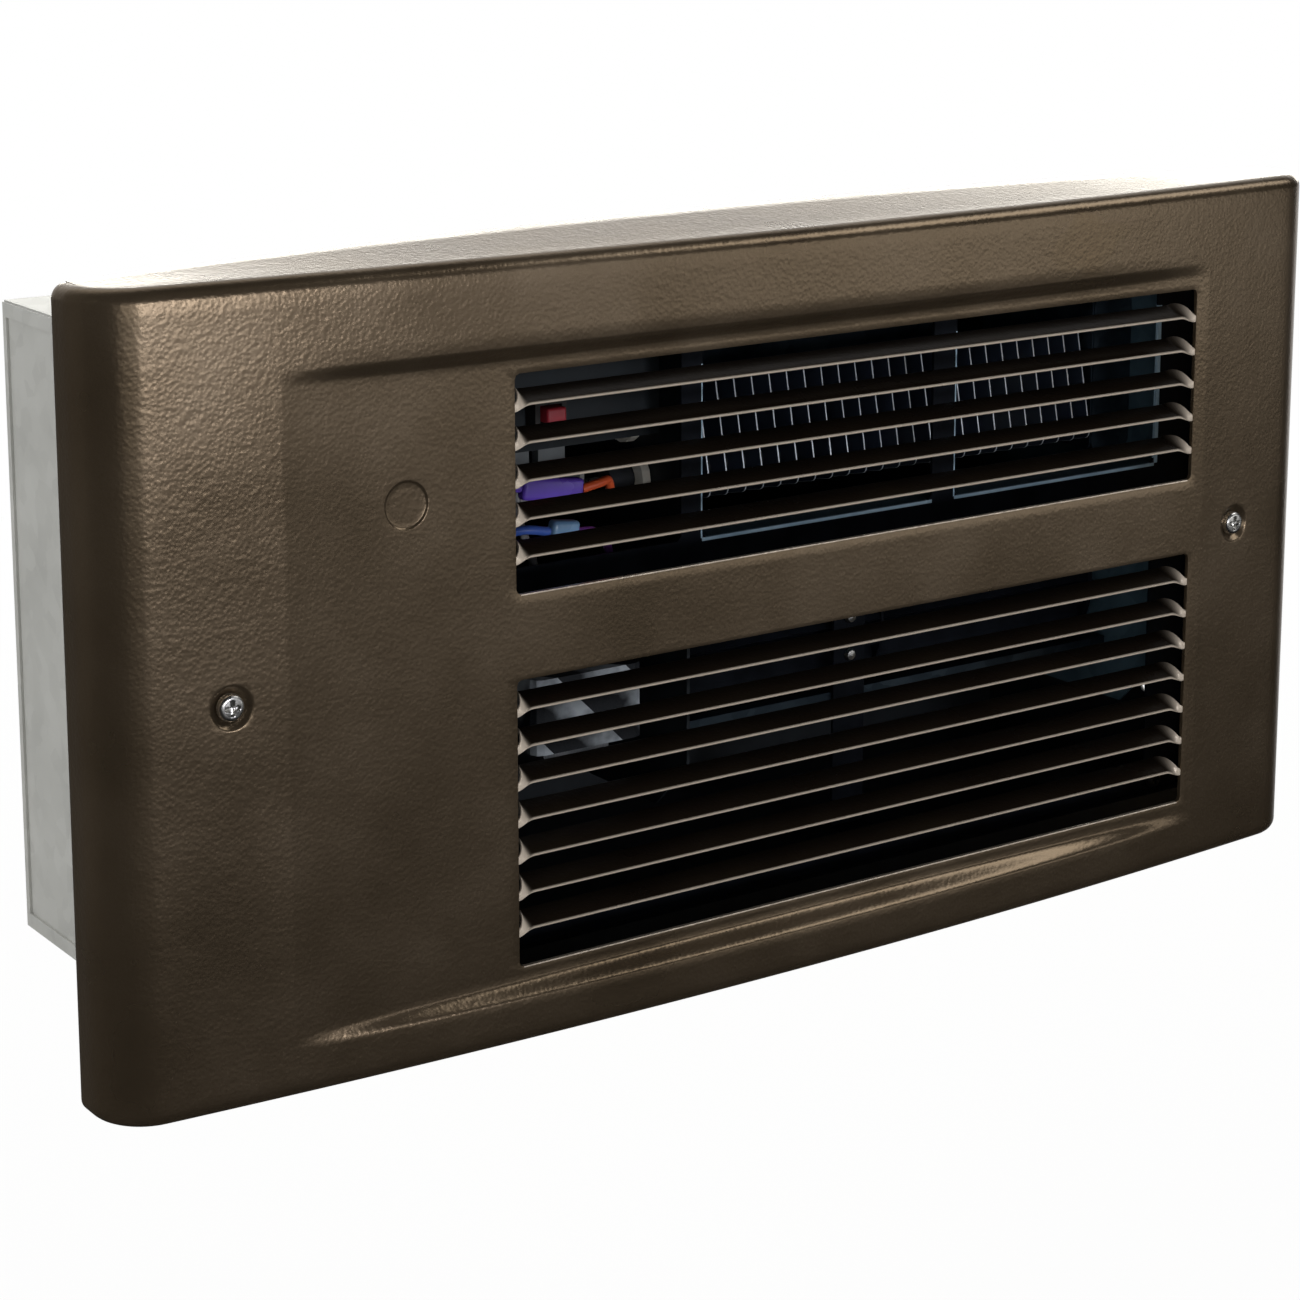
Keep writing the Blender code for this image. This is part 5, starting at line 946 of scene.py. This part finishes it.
# Studio
# A pale floor below the heater, a white surround, and six softboxes: a small key in front, a wide one left
# of it, weak ones at the right, low and high, a strong one behind, and one for the can's side.
def floor_finish():
    """Pale matt floor: mostly white to the camera, with the heater's soft shadow. In the coat's mirror it
    glows behind the heater and dimly far in front, and more at the right than at the left."""
    material, tree, shader, spot = blank("pale_floor", 0.0, Base_Color=(0.85, 0.85, 0.84, 1), Roughness=0.8)
    path = tree.nodes.new("ShaderNodeLightPath").outputs
    place = step(tree, "SeparateXYZ", {0: spot}).node.outputs
    direct = combine(tree, "MAXIMUM", path["Is Camera Ray"], path["Is Transmission Ray"])
    behind = spread(tree, place["Y"], 0.0, 0.93, 0.0, 0.5)
    front = spread(tree, place["Y"], 0.25, 0.0, -1.1, -0.4)
    beside = spread(tree, place["X"], 0.06, 1.0, -0.2, 0.9)
    mirrored = combine(tree, "MULTIPLY", combine(tree, "MAXIMUM", behind, front), beside)
    glow = step(tree, "Emission", {"Strength": combine(tree, "MAXIMUM", mirrored, direct)})
    far = spread(tree, place["Y"], 0.93, 1.0, 0.4, 1.4)
    share = combine(tree, "MAXIMUM", combine(tree, "MULTIPLY", direct, far), path["Is Glossy Ray"])
    mixed = step(tree, "MixShader", {0: share, 1: shader.outputs[0], 2: glow})
    tree.links.new(mixed, tree.nodes["Material Output"].inputs["Surface"])
    return material


floor_half, floor_level = 6, -0.30
corners = [(a * floor_half, b * floor_half, floor_level) for a, b in ((-1, -1), (1, -1), (1, 1), (-1, 1))]
floor_mesh = bpy.data.meshes.new("floor")
floor_mesh.from_pydata(corners, [], [(0, 1, 2, 3)])
floor_mesh.materials.append(floor_finish())
floor = bpy.data.objects.new("floor", floor_mesh)
bpy.context.collection.objects.link(floor)

world = bpy.data.worlds.new("surround")
bpy.context.scene.world = world
world.use_nodes = True
sky = world.node_tree
sky.nodes.clear()
# White to the camera. In the coat's mirror it is white behind the heater and nearly black in front, and for
# other light it is stronger from behind and from the left.
ray = sky.nodes.new("ShaderNodeLightPath").outputs
way = sky.nodes.new("ShaderNodeTexCoord").outputs["Generated"]
ways = step(sky, "SeparateXYZ", {0: way}).node.outputs
behind = spread(sky, ways["Y"], 0.0, 1.0, 0.1, 0.45)
beside = spread(sky, ways["X"], 0.10, 1.0, -0.5, 0.0)
mirrored = combine(sky, "MAXIMUM", combine(sky, "MULTIPLY", behind, beside), 0.02)
room = combine(sky, "MAXIMUM", spread(sky, ways["X"], 0.62, 0.24, -0.95, 0.1), behind)
level = step(sky, "Mix", {"Factor": ray["Is Glossy Ray"], "A": room, "B": mirrored}, data_type="FLOAT")
for seen in ("Is Camera Ray", "Is Transmission Ray"):
    level = combine(sky, "MAXIMUM", level, ray[seen])
surround = step(sky, "Background", {"Color": (1, 1, 1, 1), "Strength": level})
sky.links.new(surround, sky.nodes.new("ShaderNodeOutputWorld").inputs["Surface"])


def lamp(name, spot, width, height, power, colour=(1, 1, 1), aim=(0, 0, 0)):
    """A rectangular softbox at a spot, turned to face the aim."""
    light = bpy.data.lights.new(name, "AREA")
    light.shape = "RECTANGLE"
    light.size, light.size_y = width, height
    light.energy = power
    light.color = colour
    made = bpy.data.objects.new(name, light)
    made.location = spot
    made.rotation_euler = (Vector(aim) - Vector(spot)).to_track_quat("-Z", "Y").to_euler()
    made.visible_camera = False
    bpy.context.collection.objects.link(made)
    return made


lamp("key", (0.14, -1.6, 0.055), 0.30, 0.22, 4.6, (0.98, 0.99, 1.06))
lamp("near key", (-0.50, -1.52, 0.06), 0.9, 0.22, 1.8)
lamp("right", (1.02, -1.18, -0.02), 0.8, 0.22, 1.0)
lamp("high", (1.05, -0.62, 0.97), 1.0, 0.45, 4.8)
lamp("back", (1.6, 1.7, 0.42), 3.0, 0.5, 29.0, (1.0, 0.985, 0.91), (0.6, 0, 0))
lamp("left", (-1.6, -0.1, 0.7), 0.8, 0.6, 11.0).visible_glossy = False


# The camera, pitched a little down, with its film shifted so that uprights stay nearly upright.
focal_pixels, frame_pixels, film = 3060, 1300, 36
yaw, pitch = 0.60341, -0.1925
sight = bpy.data.cameras.new("camera")
sight.sensor_width = film
sight.lens = focal_pixels / frame_pixels * film
sight.shift_x, sight.shift_y = -0.0007, -0.2
sight.clip_start, sight.clip_end = 0.01, 50
eye = bpy.data.objects.new("camera", sight)
eye.location = (-0.50705, -0.68962, 0.2281)
aim = Vector((math.sin(yaw) * math.cos(pitch), math.cos(yaw) * math.cos(pitch), math.sin(pitch)))
eye.rotation_euler = aim.to_track_quat("-Z", "Y").to_euler()
bpy.context.collection.objects.link(eye)
bpy.context.scene.camera = eye
bpy.context.scene.view_settings.view_transform = "Standard"
